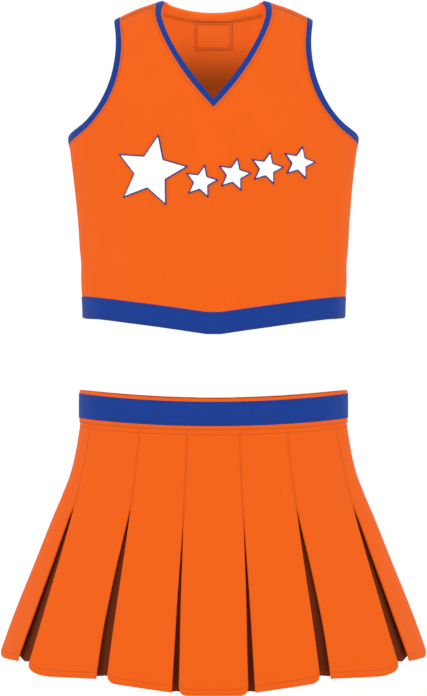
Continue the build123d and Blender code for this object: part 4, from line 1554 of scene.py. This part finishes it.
def make_underlays():
    for i in range(COUNT):
        name = f"underlay_{i + 1:02d}"
        grid = underlay_surface(i)
        # the underlays carry the painted pleat shade on their outer face
        cloth = grid_piece(name + "_fold", grid[:, ::-1], "double_knit_pleat_inside", "orange_knit", thick=0.9)
        hang(cloth, name, grid)
        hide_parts(name)
        lay(grid)


# ---------------------------------------------------------------- the zip

TAPE_DEEP = 3.5  # how far the tape's face lies in from the zip's plane
ZIP_LONG = 84.0
PIN_DOWN, PIN_OUT = 6.9, 1.5  # the pull's pin, from the zip's top


def zip_plane():
    """Origin at the zip's top, the way down it, across it to the wearer's left and out of it."""
    joint = JOINTS["zip_run"]
    down = np.array(joint["axis"], float)
    across = np.array([1.0, 0.0, 0.0])
    out = np.cross(down, across)
    if out[1] < 0:
        out = -out
    pin = np.array(JOINTS["zip_pull_tab"]["pos_m"]) / MM
    return pin - down * PIN_DOWN - out * PIN_OUT, down, across, out


def zip_point(v, u, w):
    origin, down, across, out = zip_plane()
    v, u, w = np.broadcast_arrays(*(np.asarray(k, float) for k in (v, u, w)))
    return origin + v[..., None] * down + u[..., None] * across + w[..., None] * out


def rings_round(middle, radius, first, second, sides):
    """Rings of points round each of a line of middles, in the plane of two directions."""
    ring = np.arange(sides) * 2 * math.pi / sides
    radius = np.broadcast_to(radius, len(middle))[:, None, None]
    return middle[:, None] + radius * (np.cos(ring)[None, :, None] * first + np.sin(ring)[None, :, None] * second)


def rounded_block(name, v, u, w, radius, material, slot, body, taper=1.0, segments=3):
    """A block in the zip's plane with rounded edges, its low end narrowed by taper."""
    corners = np.array([[a, b, c] for a in v for b in u for c in w], float)
    middle_u = sum(u) / 2
    corners[4:, 1] = middle_u + (corners[4:, 1] - middle_u) * taper
    faces = [[0, 1, 3, 2], [4, 6, 7, 5], [0, 4, 5, 1], [2, 3, 7, 6], [0, 2, 6, 4], [1, 5, 7, 3]]
    points = zip_point(*corners.T)
    obj = piece(name, points, faces, None, material, slot, body)
    edge = obj.modifiers.new("edge", "BEVEL")
    edge.width, edge.segments, edge.limit_method = radius * MM, segments, "NONE"
    bevelled(obj)
    return obj


def bevelled(obj):
    """Applies a piece's modifiers to its mesh."""
    bpy.context.view_layer.update()
    done = bpy.data.meshes.new_from_object(obj.evaluated_get(bpy.context.evaluated_depsgraph_get()))
    obj.modifiers.clear()
    obj.data = done
    done.shade_smooth()
    done.set_sharp_from_angle(angle=math.radians(50))


def joined(name, parts, material, slot, body, node=None):
    """Joins mesh objects into one piece."""
    points, faces = [], []
    for obj in parts:
        start = len(points)
        points += [list(np.array(v.co) / MM) for v in obj.data.vertices]
        faces += [[v + start for v in p.vertices] for p in obj.data.polygons]
        mesh = obj.data
        bpy.data.objects.remove(obj)
        bpy.data.meshes.remove(mesh)
    out = piece(name, np.array(points), faces, None, material, slot, body, sharp=45)
    if node:
        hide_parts(node)
    return out


def make_zip():
    pitch = bpy.context.scene.cheer_skirt.coil_pitch / MM
    for side, sign in (("left", 1), ("right", -1)):
        v, u = np.meshgrid(np.linspace(0.5, ZIP_LONG + 6, 46), np.linspace(0.75, 15.6, 9), indexing="ij")
        grid = zip_point(v, u * sign, -TAPE_DEEP - 0.35 - 0.1 * np.sin(v / 3.1) * ramp(u, 5, 15))
        tape = grid_piece("zip_tape_cloth_" + side, grid, "woven_zip_tape", "zip_tape", "skirt", thick=0.6)
        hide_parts("zip_tape_" + side)
        lay(grid)
        coil(side, sign, pitch)
    metal = (*NICKEL, "skirt")
    depth = (-TAPE_DEEP, -TAPE_DEEP + 1.9)
    stops = [rounded_block("stop", (ZIP_LONG - 2.6, ZIP_LONG), (-2.7, 2.7), depth, 0.4, *metal)]
    for sign in (-1, 1):
        across = sorted((sign * 0.72, sign * 2.65))
        stops.append(rounded_block("stop", (1.0, 3.0), across, (-TAPE_DEEP, -TAPE_DEEP + 1.35), 0.3, *metal))
    joined("zip_stop_metal", stops, *metal, "zip_stops")
    make_slider()


def coil(side, sign, pitch):
    """One side of the zip's chain: a row of nylon loops, each a small rounded bar that leans down the zip."""
    points, faces = [], []
    _, down, across, out = zip_plane()
    shares = np.array([0, 0.1, 0.5, 0.85, 1.0])
    girth = np.array([0.3, 0.48, 0.5, 0.55, 0.25])
    count = int((ZIP_LONG - 6.4) / pitch)
    shift = 0 if sign > 0 else pitch / 2
    for i in range(count):
        v0 = 3.6 + i * pitch + shift
        at_u = sign * (2.45 - 2.3 * shares)
        middle = zip_point(v0 + 0.25 * shares, at_u, -TAPE_DEEP + 0.75 + 0.25 * np.sin(shares * math.pi))
        start = len(points) * 30
        points.append(rings_round(middle, girth, down, 1.15 * out, 6).reshape(-1, 3))
        faces += [[v + start for v in f] for f in grid_faces(5, 6, wrap_columns=True)]
        faces += [[start + k for k in range(6)], [start + 24 + k for k in reversed(range(6))]]
    # the cord that runs down the outside of the loops
    line = np.linspace(3.2, ZIP_LONG - 3, 40)
    middle = zip_point(line, sign * 2.3, -TAPE_DEEP + 0.55)
    start = len(points) * 30
    points.append(rings_round(middle, 0.45, across, out, 6).reshape(-1, 3))
    faces += [[v + start for v in f] for f in grid_faces(40, 6, wrap_columns=True)]
    obj = piece("zip_coil_" + side, np.vstack(points), faces, None, "nylon_coil_orange", "zip_coil", "skirt")
    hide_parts("zip_teeth_" + side)


SLIDER_START, SLIDER_LONG = 3.4, 9.0


def make_slider():
    start, end = SLIDER_START, SLIDER_START + SLIDER_LONG
    metal = (*NICKEL, "slider")
    parts = [
        rounded_block("plate", (start, end), (-3.9, 3.9), (-1.6, -0.35), 0.45, *metal, taper=0.72),
        rounded_block("plate", (start, end), (-3.9, 3.9), (-6.0, -4.8), 0.45, *metal, taper=0.72),
        rounded_block("post", (start + 1, start + 4), (-0.34, 0.34), (-5.0, -1.2), 0.12, *metal),
    ]
    for sign in (-1, 1):
        across = sorted((sign * 2.95, sign * 3.85))
        parts.append(rounded_block("flange", (start + 0.3, end - 0.3), across, (-2.9, -1.2), 0.3, *metal, taper=0.97))
        across = sorted((sign * 1.9, sign * 2.8))
        parts.append(rounded_block("ear", (start + 1.6, start + 5.4), across, (-0.6, 2.3), 0.4, *metal))
    parts.append(zip_rod("pin", PIN_DOWN, PIN_OUT, (-2.5, 2.5), 0.58, *metal))
    joined("zip_slider_metal", parts, *metal, "zip_slider")
    make_pull()


def zip_rod(name, v, w, u, radius, material, slot, body):
    """A short round pin across the zip."""
    _, down, _, out = zip_plane()
    middle = zip_point(v, np.array([u[0], u[0] + 0.15, u[1] - 0.15, u[1]]), w)
    points = rings_round(middle, radius * np.array([0.7, 1, 1, 0.7]), down, out, 16).reshape(-1, 3)
    faces = grid_faces(4, 16, wrap_columns=True) + [list(range(16))[::-1], [48 + k for k in range(16)]]
    return piece(name, points, faces, None, material, slot, body)


PULL_OUTLINE = [(-0.6, 1.5), (3.2, 1.5), (4.6, 2.4), (7.0, 3.3), (22.0, 3.3), (24.6, 2.9), (25.8, 1.7), (26.1, 0.0)]


def make_pull():
    """The pull: a flat tongue with a raised rim, three grip ridges and an eye round the slider's pin."""
    pin_v = SLIDER_START + 3.5
    right = np.array(PULL_OUTLINE, float)
    left = right[::-1][1:] * (1, -1)
    outline = anticlockwise(even(np.vstack([right, left]), 90, close=True))
    hole = np.array([(21.4 + 1.8 * math.cos(a), 1.8 * math.sin(a)) for a in np.linspace(0, 2 * math.pi, 21)[:-1]])
    flat, triangles, _ = patchwork(outline, 1.1, [inset_ring(outline, 0.7), inset_ring(outline, 1.1), hole])
    keep = [f for f in triangles if np.hypot(*(flat[f].mean(axis=0) - (21.4, 0))) > 1.75]
    rim = gap_to(flat, outline)
    ridge = sum(bump(flat[:, 0], at, 0.45) for at in (12.0, 14.4, 16.8)) * (rim > 1.0)
    lift = 0.14 * (rim < 0.95) + 0.16 * ridge
    points = zip_point(pin_v + flat[:, 0], flat[:, 1], PIN_OUT + 0.40 + lift)
    below = zip_point(pin_v + flat[:, 0], flat[:, 1], PIN_OUT - 0.52 - lift)
    n = len(flat)
    keep = [f if np.cross(*(flat[f[k]] - flat[f[0]] for k in (1, 2))) > 0 else f[::-1] for f in keep]
    _, down, across, out = zip_plane()
    if np.dot(np.cross(down, across), out) < 0:
        keep = [f[::-1] for f in keep]
    faces = keep + [[v + n for v in f[::-1]] for f in keep] + [[b, a, a + n, b + n] for a, b in open_edges(keep)]
    metal = (*NICKEL, "pull")
    tongue = piece("tongue", np.vstack([points, below]), faces, None, *metal)
    at, radius = np.array([(-1.45, 1.15), (-1.3, 1.35), (1.3, 1.35), (1.45, 1.15), (1.45, 0.72), (-1.45, 0.72)]).T
    rings = rings_round(zip_point(pin_v, at, PIN_OUT), radius, down, out, 16)
    barrel = piece("barrel", rings.reshape(-1, 3), grid_faces(6, 16, True, True), None, *metal)
    joined("zip_pull_metal", [tongue, barrel], *metal, "zip_pull")


# ---------------------------------------------------------------- stage


def area_light(name, place, aim, size, power):
    light = bpy.data.lights.new(name, "AREA")
    light.shape, light.size, light.energy = "DISK", size, power
    obj = bpy.data.objects.new(name, light)
    obj.location = place
    obj.rotation_euler = (Vector(aim) - Vector(place)).to_track_quat("-Z", "Y").to_euler()
    bpy.context.scene.collection.objects.link(obj)


CAMERA_AWAY, CAMERA_HIGH, AIM_HIGH = 2.2, 0.007, 0.0495
VIEW_TALL = 0.8004  # how much height the camera takes in, where the garment is


def make_stage():
    scene = bpy.context.scene
    mesh = bpy.data.meshes.new("floor")
    reach, level = 12.0, CAD_BOX[0][2] - 0.10
    corners = [(x * reach, y * reach, level) for x, y in ((-1, -1), (1, -1), (1, 1), (-1, 1))]
    mesh.from_pydata(corners, [], [[0, 1, 2, 3]])
    floor = bpy.data.objects.new("floor", mesh)
    scene.collection.objects.link(floor)
    material, tree, surface = new_material("matt_paper", Roughness=1.0, Specular_IOR_Level=0.0)
    tree.links.new(mottled(tree, "#FFFFFF", 0.003, 300.0), surface.inputs["Base Color"])
    mesh.materials.append(material)

    world = bpy.data.worlds.new("studio")
    world.use_nodes = True
    world.node_tree.nodes["Background"].inputs["Color"].default_value = (1, 1, 1, 1)
    world.node_tree.nodes["Background"].inputs["Strength"].default_value = 1.0
    scene.world = world
    area_light("key_softbox", (-1.3, -2.0, 1.5), (0, 0, 0.1), 1.6, 6.0)
    area_light("fill_softbox", (1.8, -1.6, 0.4), (0, 0, 0.0), 1.8, 2.5)
    area_light("rim_softbox", (0.6, 2.2, 1.4), (0, 0, 0.1), 1.6, 6.0)

    camera = bpy.data.objects.new("camera", bpy.data.cameras.new("camera"))
    camera.location = (0, -CAMERA_AWAY, CAMERA_HIGH)
    camera.rotation_euler = (Vector((0, 0, AIM_HIGH)) - camera.location).to_track_quat("-Z", "Y").to_euler()
    camera.data.sensor_fit = "VERTICAL"
    camera.data.lens = camera.data.sensor_height / 2 / (VIEW_TALL / 2 / CAMERA_AWAY)
    scene.collection.objects.link(camera)
    scene.camera = camera
    scene.view_settings.view_transform = "Standard"


# ---------------------------------------------------------------- operators and panel


class UNIFORM_OT_materials(bpy.types.Operator):
    """Makes every cloth, thread and metal finish"""

    bl_idname = "uniform.materials"
    bl_label = "Finishes"

    def execute(self, context):
        make_materials()
        return {"FINISHED"}


class UNIFORM_OT_panels(bpy.types.Operator):
    """Cuts the top's front and back panels"""

    bl_idname = "uniform.panels"
    bl_label = "Top panels"

    def execute(self, context):
        make_panels()
        return {"FINISHED"}


class UNIFORM_OT_bindings(bpy.types.Operator):
    """Binds the neck, the armholes and the hem, and faces the back neck"""

    bl_idname = "uniform.bindings"
    bl_label = "Bindings"

    def execute(self, context):
        make_bindings()
        make_hem_bands()
        make_neck_facing()
        return {"FINISHED"}


class UNIFORM_OT_top_stitches(bpy.types.Operator):
    """Stitches the top's seams and edges"""

    bl_idname = "uniform.top_stitches"
    bl_label = "Top stitches"

    def execute(self, context):
        make_top_stitches()
        return {"FINISHED"}


class UNIFORM_OT_stars(bpy.types.Operator):
    """Sews the twill stars on the chest"""

    bl_idname = "uniform.stars"
    bl_label = "Stars"

    def execute(self, context):
        make_stars()
        return {"FINISHED"}


class UNIFORM_OT_waistband(bpy.types.Operator):
    """Makes the waistband, its stripe, lining, tab and stitches"""

    bl_idname = "uniform.waistband"
    bl_label = "Waistband"

    def execute(self, context):
        make_waistband()
        make_tab()
        make_waist_stitches()
        return {"FINISHED"}


class UNIFORM_OT_pleats(bpy.types.Operator):
    """Hangs the pleated panels and the underlays behind them"""

    bl_idname = "uniform.pleats"
    bl_label = "Pleats"

    def execute(self, context):
        make_pleats()
        make_underlays()
        return {"FINISHED"}


class UNIFORM_OT_zip(bpy.types.Operator):
    """Makes the centre back zip"""

    bl_idname = "uniform.zip"
    bl_label = "Zip"

    def execute(self, context):
        make_zip()
        return {"FINISHED"}


class UNIFORM_OT_stage(bpy.types.Operator):
    """Sets the floor, the lights and the camera"""

    bl_idname = "uniform.stage"
    bl_label = "Stage"

    def execute(self, context):
        make_stage()
        return {"FINISHED"}


OPERATORS = (
    UNIFORM_OT_materials,
    UNIFORM_OT_panels,
    UNIFORM_OT_bindings,
    UNIFORM_OT_top_stitches,
    UNIFORM_OT_stars,
    UNIFORM_OT_waistband,
    UNIFORM_OT_pleats,
    UNIFORM_OT_zip,
    UNIFORM_OT_stage,
)
GROUPS = {"cheer_top": TopSizes, "cheer_skirt": SkirtSizes, "cheer_stitches": StitchSizes, "cheer_colours": Colours}


class UNIFORM_PT_panel(bpy.types.Panel):
    """Lists the uniform's sizes, colours and building steps"""

    bl_label = "Cheer Uniform"
    bl_idname = "UNIFORM_PT_panel"
    bl_space_type = "VIEW_3D"
    bl_region_type = "UI"
    bl_category = "Uniform"

    def draw(self, context):
        for name, group in GROUPS.items():
            box = self.layout.box()
            for key in group.__annotations__:
                box.prop(getattr(context.scene, name), key)
        for operator in OPERATORS:
            self.layout.operator(operator.bl_idname)


def register():
    for group in GROUPS.values():
        bpy.utils.register_class(group)
    for operator in OPERATORS:
        bpy.utils.register_class(operator)
    bpy.utils.register_class(UNIFORM_PT_panel)
    for name, group in GROUPS.items():
        setattr(bpy.types.Scene, name, PointerProperty(type=group))


def unregister():
    for name in GROUPS:
        delattr(bpy.types.Scene, name)
    bpy.utils.unregister_class(UNIFORM_PT_panel)
    for operator in reversed(OPERATORS):
        bpy.utils.unregister_class(operator)
    for group in reversed(list(GROUPS.values())):
        bpy.utils.unregister_class(group)


def main():
    register()
    for operator in OPERATORS:
        space, step = operator.bl_idname.split(".")
        getattr(getattr(bpy.ops, space), step)()


if __name__ == "__main__":
    main()
